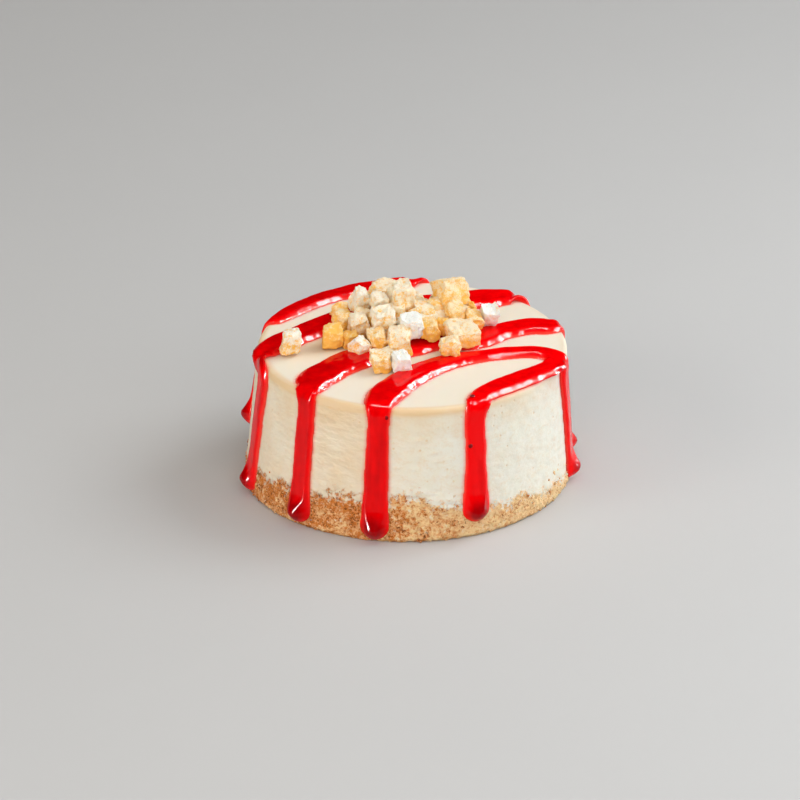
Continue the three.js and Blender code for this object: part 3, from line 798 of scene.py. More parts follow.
def make_filling(form, props, material):
    """One closed disc with a soft rim, whose side hangs down unevenly over the crust."""
    columns, top_rows, rim_rows, side_rows = props.cake.columns, 58, 11, 62
    below_line = 2.6  # the side goes on behind the crumbs by this much
    angles = angles_round(columns)
    line = ragged_edge(form, angles, props.crust)
    side = form.distance_down_to(line - below_line) - form.rim_length
    stops = [*np.linspace(0.03, 1, top_rows) * form.rim_centre]
    stops += [*np.linspace(form.rim_centre, form.rim_length, rim_rows + 1)[1:]]
    stops += [form.rim_length + side * row / side_rows for row in range(1, side_rows + 1)]
    rings = []
    for stop in stops:
        r, z, _, _ = form.profile(np.full(columns, stop))
        rings.append(form.point(r, angles, z))
    outer = np.concatenate(rings)
    relief = wall_relief(form, props, outer, np.tile(line, len(rings)))
    outer += away_from_middle(angles, len(rings)) * relief[:, None]
    foot_z = props.crust.height / MM - 1.5
    inner = form.level_ring(form.foot - 6, angles, foot_z)
    vertices = np.concatenate([outer, inner, [[0, 0, form.height], [0, 0, foot_z]]])
    faces = closed_faces(len(rings) + 1, columns, going_down=True)
    piece = new_piece("cheese_filling", vertices, faces, material)
    down = form.height - vertices[:, 2]
    set_numbers(piece, "rim", rim_bake_and_shade(form, vertices, down))
    set_numbers(piece, "wall", smooth_step(down, 0.6, 2.0))
    set_numbers(piece, "tone", np.full(len(vertices), 0.5))
    set_above(piece, form, props.crust)
    return piece


def wall_relief(form, props, outer, line):
    """How far the side stands out: shallow curds, and a ragged lip over the crust."""
    above = outer[:, 2] - line
    level = outer * np.array([1, 1, 1.8])  # curds lie flat, wider than they are high
    lumps = noise_sum(level, (4.2, 1.0, 0.5), (2.2, 2.0, 0.7))
    ragged = noise_sum(outer, (2.2, 3.0, 0.55), (0.9, 4.0, 0.5))
    near = 1 - smooth_step(above, 0.5, 4.0)
    lip = 0.10 * near + 0.34 * ragged * near - 0.6 * smooth_step(-above, -0.3, 1.2)
    wall = smooth_step(outer[:, 2], form.height - 0.6, form.height - 3.2)
    return (props.cake.wall_relief / MM * lumps + lip) * wall


def rim_bake_and_shade(form, vertices, down):
    """How browned the rim is, partly baked and partly painted shade: most on the left, little below it."""
    past_rim = np.hypot(vertices[:, 0] - form.lean, vertices[:, 1]) - form.rim_centre
    at_top = smooth_step(past_rim, -0.9, 0.4) * 0.7
    edge = np.where(down < 0.001, at_top, 0.7 + 0.3 * smooth_step(down, 0.0, 0.5))
    angle = np.arctan2(vertices[:, 1], vertices[:, 0])
    # Painted shade: the rim is browner towards the left, away from the light
    towards_left = 0.5 + 0.5 * np.cos(angle - from_front(BROWN_RIM))
    line = 0.25 + 0.6 * smooth_step(towards_left, 0.3, 0.8)
    fade = line * (1 - smooth_step(down, 0.9, 2.4))
    fade += (0.1 + 0.3 * towards_left) * (1 - smooth_step(down, 1.5, 9.0))
    # A spot of painted shade under the rim on the front left
    fade += 0.28 * np.exp(-(((angle - from_front(PAINTED_SHADE_SPOT)) / 0.24) ** 2)) * smooth_step(down, 0.3, 0.9)
    return edge * fade


# The biscuit base


def crumb_finish(colours):
    """Loose crumbs of the biscuit."""
    finish = Finish("loose_crumbs", roughness=0.9, specular_ior_level=0.15)
    base, height = biscuit_look(finish, colours, grain_mm=0.3)
    return finish.finish(base_color=base, normal=finish.bump(height, 1.0))


def crust_relief(points, crust):
    """How far the pressed crumbs stand out at points on the crust's side."""
    lumps = noise_sum(points, (1.4, 5.0, 0.45), (0.75, 6.0, 0.55), (3.5, 7.0, 0.3))
    return crust.relief / MM * (0.35 + lumps)


def make_crust(form, props, material):
    """The pressed base: a low round with a crumbly side that rises behind the cheese's lip."""
    columns, rows = props.cake.columns, 36
    above_line = 2.2  # the side goes on behind the cheese by this much
    angles = angles_round(columns)
    line = ragged_edge(form, angles, props.crust)
    outer = side_band(form, angles, 0.0, line + above_line, rows)
    above = outer[:, 2] - np.tile(line, rows + 1)
    worn = 0.7 * (1 - smooth_step(outer[:, 2], 0.0, 0.9))
    sink = 0.55 * smooth_step(above, -1.2, 1.6)
    relief = crust_relief(outer, props.crust)
    outer += away_from_middle(angles, rows + 1) * (relief - worn - sink)[:, None]
    top_z = props.crust.height / MM
    inner_foot, inner_top = (form.level_ring(form.foot * 0.8, angles, z) for z in (0.0, top_z))
    vertices = np.concatenate([inner_foot, outer, inner_top, [[0, 0, 0], [0, 0, top_z]]])
    piece = new_piece("biscuit_crust", vertices, closed_faces(rows + 3, columns), material)
    tone = np.full(len(vertices), 0.4)
    # Paler where the crumbs stand out and darker in the hollows between them, which is painted shade, with
    # tone that differs at random
    tone[columns : columns + len(outer)] = 0.30 + 0.75 * relief + 0.25 * noise_at(outer, 1.1, 8.0)
    set_numbers(piece, "tone", tone)
    set_above(piece, form, props.crust)
    return piece


def crumb_tree():
    """Scatters rough crumbs over a surface, sunk a little into it."""
    sizes = {"Density": "Float", "Radius": "Float", "Roughness": "Float", "Seed": "Int"}
    graph = ShapeTree("Crumb scatter", sizes)
    given = graph.given
    density = Wire(graph, given["Density"]) * graph.named("chance")
    points = graph.node(
        "GeometryNodeDistributePointsOnFaces",
        {"distribute_method": "RANDOM"},
        {"Mesh": given["Geometry"], "Density": density, "Seed": given["Seed"]},
    ).outputs["Points"]
    crumb = graph.node("GeometryNodeMeshIcoSphere", {}, {"Radius": 1.0, "Subdivisions": 2}).outputs["Mesh"]
    full_turn = 6.283
    turn = graph.drawn((0, 0, 0), (full_turn, full_turn, full_turn), 11)
    turn = graph.node("FunctionNodeEulerToRotation", {}, {"Euler": turn}).outputs[0]
    spread = Wire(graph, graph.drawn(0.0, 1.0, 12))
    size = Wire(graph, given["Radius"]) * (spread * spread * 0.75 + 0.25)
    stretch = graph.scaled(graph.drawn((0.6, 0.6, 0.6), (1.2, 1.2, 1.2), 13), size)
    placed = graph.node(
        "GeometryNodeInstanceOnPoints",
        {},
        {"Points": points, "Instance": crumb, "Rotation": turn, "Scale": stretch},
    ).outputs[0]
    toned = graph.store(placed, "tone", graph.drawn(0.0, 1.0, 14), "FLOAT", "INSTANCE")
    place = graph.node("GeometryNodeInputPosition").outputs[0]
    lumps_per_metre = 2600.0
    rough = graph.node("ShaderNodeTexNoise", {}, {"Vector": place, "Scale": lumps_per_metre, "Detail": 1.0})
    normal = graph.node("GeometryNodeInputNormal").outputs[0]
    offset = graph.scaled(normal, (Wire(graph, rough.outputs["Fac"]) - 0.5) * given["Roughness"])
    moved = graph.node("GeometryNodeSetPosition", {}, {"Geometry": graph.realized(toned), "Offset": offset})
    return graph.end(moved.outputs[0])


def make_crumbs(form, props, material):
    """Loose crumbs in the crust's side, and fewer of them in the cheese just above it."""
    columns, rows = 240, 20
    lowest, above_line = 0.35, 3.0  # the lower and upper limit of the band that they lie in
    angles = angles_round(columns)
    line = ragged_edge(form, angles, props.crust)
    band = side_band(form, angles, lowest, line + above_line, rows, proud=0.05)
    piece = new_piece("biscuit_crumbs", band, grid_faces(rows + 1, columns), material, smooth=False)
    above = band[:, 2] - np.tile(line, rows + 1) + 0.9 * noise_at(band, 2.4, 9.0)
    set_numbers(piece, "chance", 1 - 0.93 * smooth_step(above, -0.9, 0.9))
    run_tree(
        piece,
        crumb_tree(),
        Density=props.crust.crumbs_per_cm2 / (0.01 * 0.01),
        Radius=props.crust.crumb,
        Roughness=0.35 * MM,
        Seed=4,
        Material=material,
    )
    bake_modifiers(piece)
    vertices = vertices_of(piece)
    vertices[:, 2] = np.maximum(vertices[:, 2], 0.0)
    move_vertices(piece, vertices)
    set_above(piece, form, props.crust)
    return piece


# The fruit sauce


def sauce_finish(colours):
    """Glossy fruit sauce: bright where it thins out, deep in the beads."""
    finish = Finish(
        "fruit_sauce",
        roughness=0.12,
        ior=1.4,
        subsurface_weight=0.15,
        subsurface_radius=(1.0, 0.03, 0.03),
        subsurface_scale=1.2 * MM,
        specular_ior_level=0.2,
    )
    depth = finish.attribute("depth")
    cloudy = finish.noise(3.0, detail=3.0)
    running = finish.noise(2.4, detail=2.0, stretch=(1.0, 1.0, 0.22))
    thin = (1 - depth.above(0.12, 0.75)) * (cloudy * 0.8 + 0.3)
    deep = (depth - 1.25) * 0.6 + (running - 0.5) * 0.9 + (cloudy - 0.5) * 0.4
    deep = (deep + 0.45 - finish.attribute("lit") * 0.42).clamped()
    tone = finish.mix(deep, colours.sauce, colours.sauce_deep)
    tone = finish.mix(thin, tone, colours.sauce_thin)
    ripple = finish.noise(1.3, detail=2.0) * (1 - depth.above(1.3, 2.2) * 0.85)
    return finish.finish(base_color=tone, normal=finish.bump(ripple, 0.055), roughness=cloudy * 0.08 + 0.06)


def catmull_rom(points, steps):
    """A centripetal Catmull-Rom curve through rows of numbers, with steps points in each span."""
    ends = [2 * points[0] - points[1], *points, 2 * points[-1] - points[-2]]
    made = []
    t = np.linspace(0, 1, steps, endpoint=False)[:, None]
    for p0, p1, p2, p3 in zip(ends, ends[1:], ends[2:], ends[3:]):
        d0, d1, d2 = (math.sqrt(np.linalg.norm(b - a)) for a, b in ((p0, p1), (p1, p2), (p2, p3)))
        leave = ((p1 - p0) / d0 - (p2 - p0) / (d0 + d1) + (p2 - p1) / d1) * d1
        arrive = ((p2 - p1) / d1 - (p3 - p1) / (d1 + d2) + (p3 - p2) / d2) * d1
        made.append(
            (2 * t**3 - 3 * t**2 + 1) * p1 + (t**3 - 2 * t**2 + t) * leave
            + (3 * t**2 - 2 * t**3) * p2 + (t**3 - t**2) * arrive
        )
    made.append(points[-1][None])
    return np.concatenate(made)


def run_points(form, run, width):
    """A run's middle on the unrolled surface, from the rim down to its end."""
    angle, foot, height, _ = run
    start, end = form.rim_length + 1, form.distance_down_to(height)
    shares = np.linspace(0, 1, 4)
    theta = np.array([from_front(angle + (foot - angle) * s) for s in shares])
    distance = start + (end - start) * shares
    return np.stack([distance * np.cos(theta), distance * np.sin(theta), np.full(4, width)], -1)


def strand_middle(form, strand, sauce):
    """Points along a strand on the unrolled surface with its width, and how far along each is."""
    width = sauce.run_width / MM
    points = [np.array(row, float) for row in strand["over"]]
    if "from" in strand:
        points = [*run_points(form, strand["from"], width)[::-1], *points]
    if "to" in strand:
        points = [*points, *run_points(form, strand["to"], width)]
    fine = catmull_rom(points, steps=40)
    along = np.concatenate([[0], np.cumsum(np.linalg.norm(np.diff(fine, axis=0), axis=1))])
    stops = np.linspace(0, along[-1], int(along[-1] / STRAND_STEP))
    return np.stack([np.interp(stops, along, fine[:, i]) for i in range(3)], -1), stops


def strand_section(form, sauce, strand, number, middle, stops):
    """Half the width and the thickness of a strand at its points."""
    to_other_end = stops[-1] - stops
    beads, bulge = np.zeros(len(stops)), np.zeros(len(stops))
    for key, distance in (("from", stops), ("to", to_other_end)):
        if key in strand:
            swell = strand[key][3]
            beads += np.exp(-(((distance - sauce.bead_place / MM) / swell) ** 2))
            swell = min(swell, sauce.bulge_swell / MM)
            bulge += np.exp(-(((distance - sauce.bulge_place / MM) / swell) ** 2))
    outwards = np.hypot(middle[:, 0], middle[:, 1])
    top, side = sauce.top_thickness / MM, sauce.run_thickness / MM
    thin = top + (side - top) * smooth_step(outwards, form.rim_centre, form.rim_length + 4)
    bend = (form.rim_centre + form.rim_length) / 2  # over the rim, where a strand is thinnest
    thin *= 1 - 0.35 * np.exp(-(((outwards - bend) / 1.4) ** 2))
    to_end = np.minimum(1, np.minimum(stops, to_other_end) / (sauce.end_round / MM))
    rounding = np.sqrt(np.maximum(1 - (1 - to_end) ** 2, 0.004))
    places = np.stack([stops, stops * 0, stops * 0], -1)
    waver = noise_sum(places, (5.0, number + 11.0, 0.09), (1.6, number + 21.0, 0.05))
    width = middle[:, 2] + (sauce.bead_width / MM - middle[:, 2]) * beads
    half = (width / 2 * (1 + waver * (1 - beads.clip(0, 1))) + 0.2) * rounding
    return half, (thin + (sauce.bead_thickness / MM - thin) * bulge) * rounding


def strand_lines(form, sauce):
    """Every strand as a line of points with its two directions, half width and thickness."""
    lines, edges, first = [], [], 0
    for number, strand in enumerate(STRANDS):
        middle, stops = strand_middle(form, strand, sauce)
        centre, up = form.surface(middle[:, 0], middle[:, 1])
        across = np.cross(up, np.gradient(centre, axis=0))
        across /= np.linalg.norm(across, axis=1)[:, None]
        lines.append((centre, across, up, *strand_section(form, sauce, strand, number, middle, stops)))
        edges += [(first + i, first + i + 1) for i in range(len(stops) - 1)]
        first += len(stops)
    return [np.concatenate(rows) for rows in zip(*lines)], edges


def strand_tree():
    """Gives lines an arched section: wide and thick as their points say, and sunk into what they lie on."""
    sizes = {"Sides": "Int", "Sunk": "Float", "Ridges": "Float", "Edge slope": "Float"}
    graph = ShapeTree("Strand sections", sizes)
    given = graph.given
    place = graph.node("GeometryNodeInputPosition").outputs[0]
    line = graph.node("GeometryNodeMeshToCurve", {}, {"Mesh": given["Geometry"]}).outputs[0]
    line = graph.store(line, "middle", place, "FLOAT_VECTOR", "POINT")
    round_inputs = {"Resolution": given["Sides"], "Radius": 1.0}
    ring = graph.node("GeometryNodeCurvePrimitiveCircle", {"mode": "RADIUS"}, round_inputs).outputs[0]
    ring = graph.store(ring, "section", place, "FLOAT_VECTOR", "POINT")
    tube_inputs = {"Curve": line, "Profile Curve": ring, "Fill Caps": True}
    tube = graph.node("GeometryNodeCurveToMesh", {}, tube_inputs).outputs[0]
    middle, section, across, up = (
        graph.named(name, "FLOAT_VECTOR") for name in ("middle", "section", "across", "up")
    )
    half, thick, along = (Wire(graph, graph.named(name)) for name in ("half", "thick", "along"))
    parts = graph.node("ShaderNodeSeparateXYZ", {}, {0: section}).outputs
    aside, arch = Wire(graph, parts[0]), Wire(graph, parts[1])
    outward, flatness = aside.math("ABSOLUTE", aside), half / thick
    arched = 1.0 - outward * outward
    sloped = half.math("SMOOTH_MIN", (1.0 - outward) * flatness * given["Edge slope"], 1.0, 0.3)
    curve = arched + (sloped - arched) * flatness.above(1.3, 2.0)
    lifted = arch.math("GREATER_THAN", arch, 0.0) * curve
    lowered = arch.math("MINIMUM", arch, 0.0)
    place = graph.node("ShaderNodeCombineXYZ", {}, {0: aside * 2.2, 1: along * 0.06}).outputs[0]
    streaks = graph.node("ShaderNodeTexNoise", {}, {"Vector": place, "Scale": 1.0, "Detail": 2.0})
    ridge = (Wire(graph, streaks.outputs["Fac"]) - 0.5) * given["Ridges"] + 1.0
    aside_step = graph.scaled(across, aside * half * (lowered * 0.2 + 1.0))
    up_step = graph.scaled(up, lifted * thick * ridge + lowered * given["Sunk"])
    place = graph.added(middle, graph.added(aside_step, up_step))
    laid = graph.node("GeometryNodeSetPosition", {}, {"Geometry": tube, "Position": place}).outputs[0]
    return graph.end(graph.realized(laid))


def make_sauce(form, props, material):
    """All strands as one skin that flows together where they meet."""
    (centres, acrosses, ups, halves, thicks), edges = strand_lines(form, props.sauce)
    piece = new_piece("fruit_sauce", centres, [], material, edges=edges)
    set_numbers(piece, "across", acrosses, "FLOAT_VECTOR")
    set_numbers(piece, "up", ups, "FLOAT_VECTOR")
    set_numbers(piece, "half", halves * MM)
    set_numbers(piece, "thick", thicks * MM)
    set_numbers(piece, "along", np.arange(len(centres)) * STRAND_STEP)
    inputs = {"Sides": STRAND_SIDES, "Ridges": STRAND_RIDGES, "Edge slope": props.sauce.edge_slope}
    run_tree(piece, strand_tree(), Sunk=props.sauce.sunk, Material=material, **inputs)
    flow = piece.modifiers.new("Flow together", "REMESH")
    flow.mode = "VOXEL"
    flow.voxel_size = props.sauce.voxel
    flow.use_smooth_shade = True
    calm = piece.modifiers.new("Calm", "SMOOTH")
    calm.factor = 0.5
    calm.iterations = 4
    bake_modifiers(piece)
    piece.data.materials.clear()
    piece.data.materials.append(material)
    vertices = vertices_of(piece)
    set_numbers(piece, "depth", form.height_over(vertices))
    set_numbers(piece, "lit", smooth_step(vertices[:, 0] + vertices[:, 2] - form.height, -22, 14))
    return piece


def stain_filling(filling, sauce):
    """Marks the cheese beside the sauce, where the red soaks in."""
    depth = numbers_in(sauce.data.attributes["depth"].data, "value", 1)[:, 0]
    edge = vertices_of(sauce)[depth > 0.05]
    tree = kdtree.KDTree(len(edge))
    for index, point in enumerate(edge):
        tree.insert(point, index)
    tree.balance()
    near = np.array([tree.find(point)[2] for point in vertices_of(filling)])
    set_numbers(filling, "stain", 0.6 * np.exp(-((near / 0.4) ** 2)))


def ball(centre, radius, normal, flat, steps=10):
    """A small closed round whose height along its normal is flat times its radius."""
    up = Vector(normal).normalized()
    side = up.orthogonal().normalized()
    turn = np.repeat(np.arange(1, steps), 2 * steps) * math.pi / steps
    angle = np.tile(np.arange(2 * steps), steps - 1) * math.pi / steps
    level = np.sin(turn)
    rings = np.stack([level * np.cos(angle), level * np.sin(angle), flat * np.cos(turn)], -1)
    vertices = np.concatenate([rings, [[0, 0, flat], [0, 0, -flat]]])
    placed = vertices @ np.array([side, up.cross(side), up]) * radius + np.array(centre)
    return placed, closed_faces(steps - 1, 2 * steps, going_down=True)


def bubble_finish(colours):
    # Painted shade: the bubbles are dark domes that stand for their shaded hollows
    shade = tuple(0.6 * part for part in colours.sauce_deep)
    return Finish("sauce_bubble", roughness=0.4, specular_ior_level=0.1, base_color=rgba(shade)).material


def make_bubbles(form, props, material):
    """The few dark bubbles that show in the sauce."""
    places = []
    for angle, height, radius in SIDE_BUBBLES:
        distance, theta = form.distance_down_to(height), from_front(angle)
        u, v = distance * math.cos(theta), distance * math.sin(theta)
        places.append((u, v, props.sauce.run_thickness / MM, radius))
    places += [(x, y, props.sauce.top_thickness / MM, radius) for x, y, radius in TOP_BUBBLES]
    parts = []
    for u, v, thickness, radius in places:
        points, normals = form.surface(np.array([u]), np.array([v]))
        centre = points[0] + normals[0] * (thickness - BUBBLE_SUNK)
        parts.append(ball(centre, radius, normals[0], BUBBLE_FLAT))
    return new_piece("sauce_bubbles", *joined(parts), material)


# The fruit


def fruit_finish(colours):
    """Dry porous fruit, from white through cream to golden."""
    finish = Finish(
        "dried_fruit",
        roughness=0.85,
        specular_ior_level=0.15,
        subsurface_weight=0.12,
        subsurface_radius=(1.0, 0.6, 0.3),
        subsurface_scale=0.9 * MM,
    )
    mottled = finish.noise(1.5, detail=4.0, roughness=0.6)
    fine = finish.noise(0.28, detail=3.0, roughness=0.7)
    # The gold attribute holds each die's own gold, with painted shade low down on it
    white, gold, pit, upward = (finish.attribute(name) for name in ("white", "gold", "pit", "upward"))
    pale = ((white - 0.5) * 1.7 + (mottled - 0.5) * 1.8 + 0.36).clamped()
    # Golden in the pits: partly the fruit's own colour, partly painted shade
    amber = (gold - 0.5) * 1.4 + (mottled - 0.5) * 2.6 + (fine - 0.5) * 3.0 + pit * (1.3 - white * 0.8)
    amber = (amber + 0.37).clamped()
    tone = finish.mix(pale, colours.fruit_cream, colours.fruit_white)
    tone = finish.mix(amber, tone, colours.fruit_gold)
    # Painted shade: the faces that look up are dimmed, as the lamps light them most
    painted_top_shade = (0.91, 0.90, 0.89)  # where the fruit faces up
    tone = finish.mix(upward.above(0.3, 0.95), tone, painted_top_shade, "MULTIPLY")
    distance, _ = finish.cells(0.7)
    relief = finish.bump(fine, 0.2)
    relief = finish.bump(distance.above(0.05, 0.35), 0.1, relief)
    return finish.finish(base_color=tone, normal=relief)


def cube_grid(steps):
    """The surface of a cube from -1 to 1 as points and quads, with shared edges."""
    spots, faces = {}, []
    ticks = np.linspace(-1, 1, steps)

    def corner(i, j, k):
        return spots.setdefault((i, j, k), len(spots))

    last = steps - 1
    for axis in range(3):
        for end in (0, last):
            for a in range(last):
                for b in range(last):
                    quad = []
                    for da, db in ((0, 0), (1, 0), (1, 1), (0, 1)):
                        where = [0, 0, 0]
                        where[axis] = end
                        where[(axis + 1) % 3] = a + da
                        where[(axis + 2) % 3] = b + db
                        quad.append(corner(*where))
                    faces.append(tuple(quad if end else quad[::-1]))
    points = np.array([[ticks[i] for i in spot] for spot in spots])
    return points, faces


# The solid model's draws: each state is the one before it times a factor, within a
# prime, and a seed is spread by a factor and a start of its own.

DRAW_PRIME = 2147483647
DRAW_FACTOR = 16807
SEED_FACTOR = 7919
SEED_START = 104729


def draws(seed, count):
    """Even draws between -1 and 1, the same as in the solid model."""
    state = (seed * SEED_FACTOR + SEED_START) % DRAW_PRIME
    made = []
    for _ in range(count):
        state = state * DRAW_FACTOR % DRAW_PRIME
        made.append(2 * state / DRAW_PRIME - 1)
    return made


def worn_cube(fruit, points, drawn, seed, width):
    """A cube from -1 to 1 with worn edges, shrunken faces and broken corners."""
    rounding = fruit.rounding * min(1, USUAL_WIDTH / width)
    inner = points * (1 - rounding)
    out = points - inner
    reach = np.linalg.norm(out, axis=1)[:, None]
    worn = inner + out / reach * np.minimum(reach, rounding)
    for axis in range(3):
        others = [other for other in range(3) if other != axis]
        hollow = np.prod(1 - points[:, others] ** 2, axis=1)
        for end in (-1, 1):
            share = fruit.dish * (1 + drawn[axis * 2 + (end + 1) // 2])
            worn[:, axis] -= end * share * hollow * (points[:, axis] * end > 0.999)
    for cut in range(3):
        *facing, deeper = draws(seed * 5 + cut, 4)
        facing = np.array(facing) * 0.5 + np.sign(facing) * 0.6
        facing /= np.linalg.norm(facing)
        beyond = worn @ facing - (1.22 + 0.16 * deeper)
        worn -= np.maximum(beyond, 0)[:, None] * facing * fruit.chipped
    return worn


def narrowed(worn, pointed):
    """A cube that narrows upwards to a ridge, or downwards under a hollow top with two peaks."""
    ridged, spiked = max(pointed, 0), max(-pointed, 0)
    high = (worn[:, 2] + 1) / 2
    shrink = 1 - ridged * 0.75 * high
    worn[:, 0] *= shrink
    worn[:, 1] *= 1 - (1 - shrink) * 0.6
    worn[:, :2] *= (1 - spiked * 0.4 * (1 - high))[:, None]
    worn[:, 2] += spiked * 0.5 * high * (worn[:, 0] ** 2 - 0.55)
    return worn


def make_die(form, fruit, row, seed, grid):
    """One uneven, rough die: its points, and how white, how golden and how pitted each is."""
    x, y, lift, width, height, turn, tip, white, gold, pointed = row
    drawn = draws(seed, 24)
    worn = narrowed(worn_cube(fruit, grid, drawn, seed, width), pointed)
    half = np.array([width / 2, width / 2, height / 2]) * fruit.plump
    made = np.zeros_like(worn)
    for corner in range(8):
        sign = np.array([1 if corner >> axis & 1 else -1 for axis in range(3)])
        stray = 1 + fruit.uneven * np.array(drawn[corner * 3 : corner * 3 + 3])
        weight = np.prod((1 + sign * worn) / 2, axis=1)
        made += weight[:, None] * sign * half * stray
    bent = np.stack([noise_at(made, 2.8, seed + 31.0 + axis) for axis in range(3)], -1)
    made += bent * fruit.warp / MM
    out = made / np.linalg.norm(made, axis=1)[:, None]
    lumps = noise_sum(made, (1.2, seed + 61.0, 0.9), (0.55, seed + 91.0, 0.7))
    made += out * (lumps * fruit.grain / MM)[:, None]
    turned = Euler((math.radians(tip), 0, math.radians(turn)), "XYZ").to_matrix()
    placed = made @ np.array(turned).T
    level = np.clip((placed[:, 2] / height) + 0.5, 0, 1)
    # Painted shade: each die is more golden low down, where its shade falls, over its own gold
    gold_and_low_shade = np.clip(gold + (0.5 - level) * 0.6 * min(1, gold * 2), 0, 1.3)
    placed = placed + np.array([x + form.lean, y, form.height + lift])
    # The deepest pits of the grain, golden there partly as the fruit's own colour and partly as painted shade
    return placed, np.stack([np.full(len(placed), white), gold_and_low_shade, np.clip(0.15 - lumps, 0, 1)], -1)


def core_lobe(form, x, y, across, along, height):
    """A low lumpy mound for the dice to stand on."""
    placed, faces = ball((0, 0, 0), 1.0, (0, 0, 1), 1.0, CORE_STEPS)
    placed *= np.array([across, along, height]) * CORE_SHARE
    placed[:, 2] = np.maximum(placed[:, 2], -1.0)
    placed += np.array([x + form.lean, y, form.height])
    placed += noise_at(placed, 2.2, 77.0)[:, None] * np.array([0.4, 0.4, 0.7])
    return placed, faces


def make_dice(form, props, name, rows, first_seed, material, low_rows=(), lobes=()):
    """Some dice, the low ones between them and the core that they stand on, as one mesh."""
    grids = cube_grid(props.fruit.steps), cube_grid(props.fruit.low_steps)
    parts, looks = [], []
    for index, row in enumerate((*rows, *low_rows)):
        grid, faces = grids[index >= len(rows)]
        placed, look = make_die(form, props.fruit, row, first_seed + index, grid)
        parts.append((placed, faces))
        looks.append(look)
    for lobe in lobes:
        parts.append(core_lobe(form, *lobe))
        looks.append(np.tile(CORE_LOOK, (len(parts[-1][0]), 1)))
    piece = new_piece(name, *joined(parts), material)
    for key, values in zip(("white", "gold", "pit"), np.concatenate(looks).T):
        set_numbers(piece, key, values)
    set_numbers(piece, "upward", numbers_in(piece.data.vertices, "normal", 3)[:, 2])
    return piece


# The stage


CAMERA_DISTANCE = 1.2  # metres
CAMERA_ELEVATION = math.radians(25.3)
CAMERA_TARGET = (-0.0016, 0.0, 0.0179)
CAMERA_LENS = 236.4  # millimetres, on a sensor 36 wide
LIGHTS_AIM = (0, 0, 0.02)
WHITE = (1, 1, 1)

# Soft rectangles of light: the place and size in metres, the power in watts and the
# colour. Panels don't show in gloss, and strips show in nothing else.

PANELS = (
    ("Key", (0.42, 0.12, 0.46), (0.4, 0.35), 2.3, (0.95, 1.0, 1.06)),
    ("Front", (0.1, -0.8, 0.55), (0.9, 0.5), 3.8, WHITE),
    ("Overhead", (0.0, 0.02, 0.9), (1.2, 1.0), 1.45, WHITE),
    ("Left panel", (-0.7, -0.45, 0.35), (0.4, 0.5), 2.4, (1.0, 0.95, 0.88)),
    ("Right panel", (0.7, -0.45, 0.35), (0.4, 0.5), 1.1, (0.85, 1.0, 1.15)),
)
STRIPS = (
    ("Left strip", (-0.48, -0.28, 0.17), (0.06, 0.36), 13.0, WHITE),
    ("Right strip", (0.53, 0.10, 0.17), (0.05, 0.36), 9.0, WHITE),
    ("Back strip", (0.42, 0.35, 0.2), (0.07, 0.36), 2.0, WHITE),
    ("Streak panel", (0.43, 0.19, 0.36), (0.18, 0.06), 3.2, WHITE),
    ("Slope panel", (0.40, -0.03, 0.43), (0.2, 0.12), 5.0, WHITE),
    ("Front bar", (-0.02, -0.12, 0.57), (0.52, 0.09), 7.5, WHITE),
)


def add_camera():
    aim = Vector((0, -math.cos(CAMERA_ELEVATION), math.sin(CAMERA_ELEVATION)))
    camera = bpy.data.cameras.new("Camera")
    camera.lens = CAMERA_LENS
    camera.sensor_width = 36
    camera.clip_start = 0.01
    seen = bpy.data.objects.new("Camera", camera)
    seen.location = Vector(CAMERA_TARGET) + aim * CAMERA_DISTANCE
    seen.rotation_euler = aim.to_track_quat("Z", "Y").to_euler()
    bpy.context.scene.collection.objects.link(seen)
    bpy.context.scene.camera = seen


def add_light(name, place, size, power, tint, in_gloss):
    """A soft rectangle of light that looks at the cake and shows either in gloss alone or not in it."""
    light = bpy.data.lights.new(name, "AREA")
    light.shape = "RECTANGLE"
    light.size, light.size_y = size
    light.energy = power
    light.color = tint
    lamp = bpy.data.objects.new(name, light)
    lamp.location = place
    lamp.visible_diffuse = not in_gloss
    lamp.visible_glossy = in_gloss
    lamp.rotation_euler = (Vector(place) - Vector(LIGHTS_AIM)).to_track_quat("Z", "Y").to_euler()
    bpy.context.scene.collection.objects.link(lamp)


def floor_finish(colours):
    finish = Finish("pale_floor", roughness=0.7, specular_ior_level=0.2)
    cloudy = finish.noise(60.0)
    shade = tuple(c * 0.97 for c in colours.floor)
    return finish.finish(base_color=finish.mix(cloudy, colours.floor, shade))


def add_floor(material):
    """A plain pale floor, just under the foot."""
    reach = 3000.0
    corners = [(-reach, -reach, 0), (reach, -reach, 0), (reach, reach, 0), (-reach, reach, 0)]
    floor = new_piece("floor", corners, [(0, 1, 2, 3)], material, smooth=False)


def add_world():
    world = bpy.data.worlds.new("Studio")
    bpy.context.scene.world = world
    world.use_nodes = True
    background = world.node_tree.nodes["Background"]
    background.inputs["Color"].default_value = (1.0, 0.97, 0.93, 1.0)
    background.inputs["Strength"].default_value = 0.3
    world.cycles_visibility.glossy = False


# Operators


class CHEESECAKE_OT_filling(bpy.types.Operator):
    """Make the cheese filling"""

    bl_idname = "cheesecake.filling"
    bl_label = "Cheese filling"

    def execute(self, context):
        props = context.scene.cheesecake
        filling = make_filling(CakeForm(props.cake), props, food_finish("baked_cheese", props.colours))
        ride_on_cake(filling, "cheesecake")
        return {"FINISHED"}


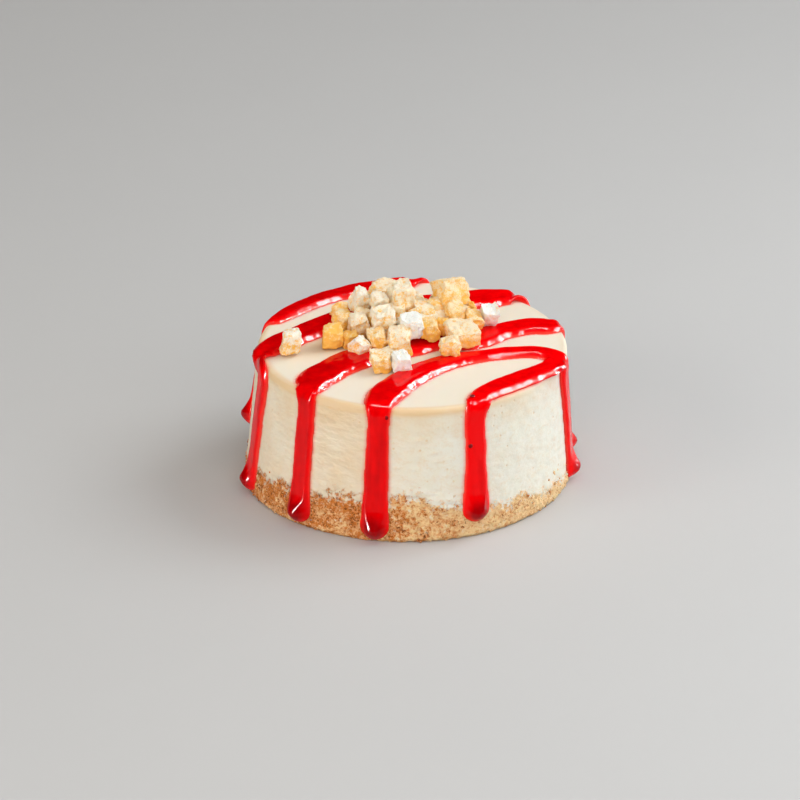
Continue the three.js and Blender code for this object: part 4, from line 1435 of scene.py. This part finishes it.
class CHEESECAKE_OT_sauce(bpy.types.Operator):
    """Make the fruit sauce and its bubbles, and stain the filling beside them"""

    bl_idname = "cheesecake.sauce"
    bl_label = "Fruit sauce"

    def execute(self, context):
        props = context.scene.cheesecake
        form = CakeForm(props.cake)
        sauce = make_sauce(form, props, sauce_finish(props.colours))
        stain_filling(bpy.data.objects["cheese_filling"], sauce)
        bubbles = make_bubbles(form, props, bubble_finish(props.colours))
        ride_on_cake(sauce, "cheesecake")
        ride_on_cake(bubbles, "cheesecake")
        return {"FINISHED"}


class CHEESECAKE_OT_biscuit(bpy.types.Operator):
    """Make the biscuit base and its loose crumbs"""

    bl_idname = "cheesecake.biscuit"
    bl_label = "Biscuit base"

    def execute(self, context):
        props = context.scene.cheesecake
        form = CakeForm(props.cake)
        crust = make_crust(form, props, food_finish("pressed_biscuit", props.colours))
        crumbs = make_crumbs(form, props, crumb_finish(props.colours))
        ride_on_cake(crust, "biscuit_base")
        ride_on_cake(crumbs, "biscuit_base")
        return {"FINISHED"}


class CHEESECAKE_OT_fruit(bpy.types.Operator):
    """Make the heap of fruit dice and the die that lies apart"""

    bl_idname = "cheesecake.fruit"
    bl_label = "Fruit dice"

    def execute(self, context):
        props = context.scene.cheesecake
        form = CakeForm(props.cake)
        material = fruit_finish(props.colours)
        heap = make_dice(form, props, "fruit_dice", HEAP_DICE, 2, material, LOW_DICE, HEAP_LOBES)
        loose = make_dice(form, props, "loose_die", (LOOSE_DIE,), 1, material)
        ride_on_cake(heap, "fruit_heap")
        ride_on_cake(loose, "loose_fruit_die")
        return {"FINISHED"}


class CHEESECAKE_OT_stage(bpy.types.Operator):
    """Set the floor, the lights, the world and the camera"""

    bl_idname = "cheesecake.stage"
    bl_label = "Stage"

    def execute(self, context):
        props = context.scene.cheesecake
        add_camera()
        add_floor(floor_finish(props.colours))
        add_world()
        context.scene.view_settings.view_transform = "Standard"
        for lights, in_gloss in ((PANELS, False), (STRIPS, True)):
            for light in lights:
                add_light(*light, in_gloss)
        return {"FINISHED"}


class CHEESECAKE_PT_panel(bpy.types.Panel):
    """Lists the steps and the sizes and colours that they use"""

    bl_idname = "CHEESECAKE_PT_panel"
    bl_label = "Fruit Cheesecake"
    bl_space_type = "VIEW_3D"
    bl_region_type = "UI"
    bl_category = "Cheesecake"

    def draw(self, context):
        layout = self.layout
        for operator in OPERATORS:
            layout.operator(operator.bl_idname)
        props = context.scene.cheesecake
        for group in (props.cake, props.crust, props.sauce, props.fruit, props.colours):
            box = layout.box()
            for name in group.__annotations__:
                box.prop(group, name)


OPERATORS = (
    CHEESECAKE_OT_filling,
    CHEESECAKE_OT_sauce,
    CHEESECAKE_OT_biscuit,
    CHEESECAKE_OT_fruit,
    CHEESECAKE_OT_stage,
)
GROUPS = (CakeSizes, CrustSizes, SauceSizes, FruitSizes, FoodColours, Cheesecake)
CLASSES = (*GROUPS, *OPERATORS, CHEESECAKE_PT_panel)


def register():
    for each in CLASSES:
        bpy.utils.register_class(each)
    bpy.types.Scene.cheesecake = PointerProperty(type=Cheesecake)


def unregister():
    del bpy.types.Scene.cheesecake
    for each in reversed(CLASSES):
        bpy.utils.unregister_class(each)


def main():
    register()
    bpy.ops.cheesecake.filling()
    bpy.ops.cheesecake.sauce()
    bpy.ops.cheesecake.biscuit()
    bpy.ops.cheesecake.fruit()
    bpy.ops.cheesecake.stage()


if __name__ == "__main__":
    main()
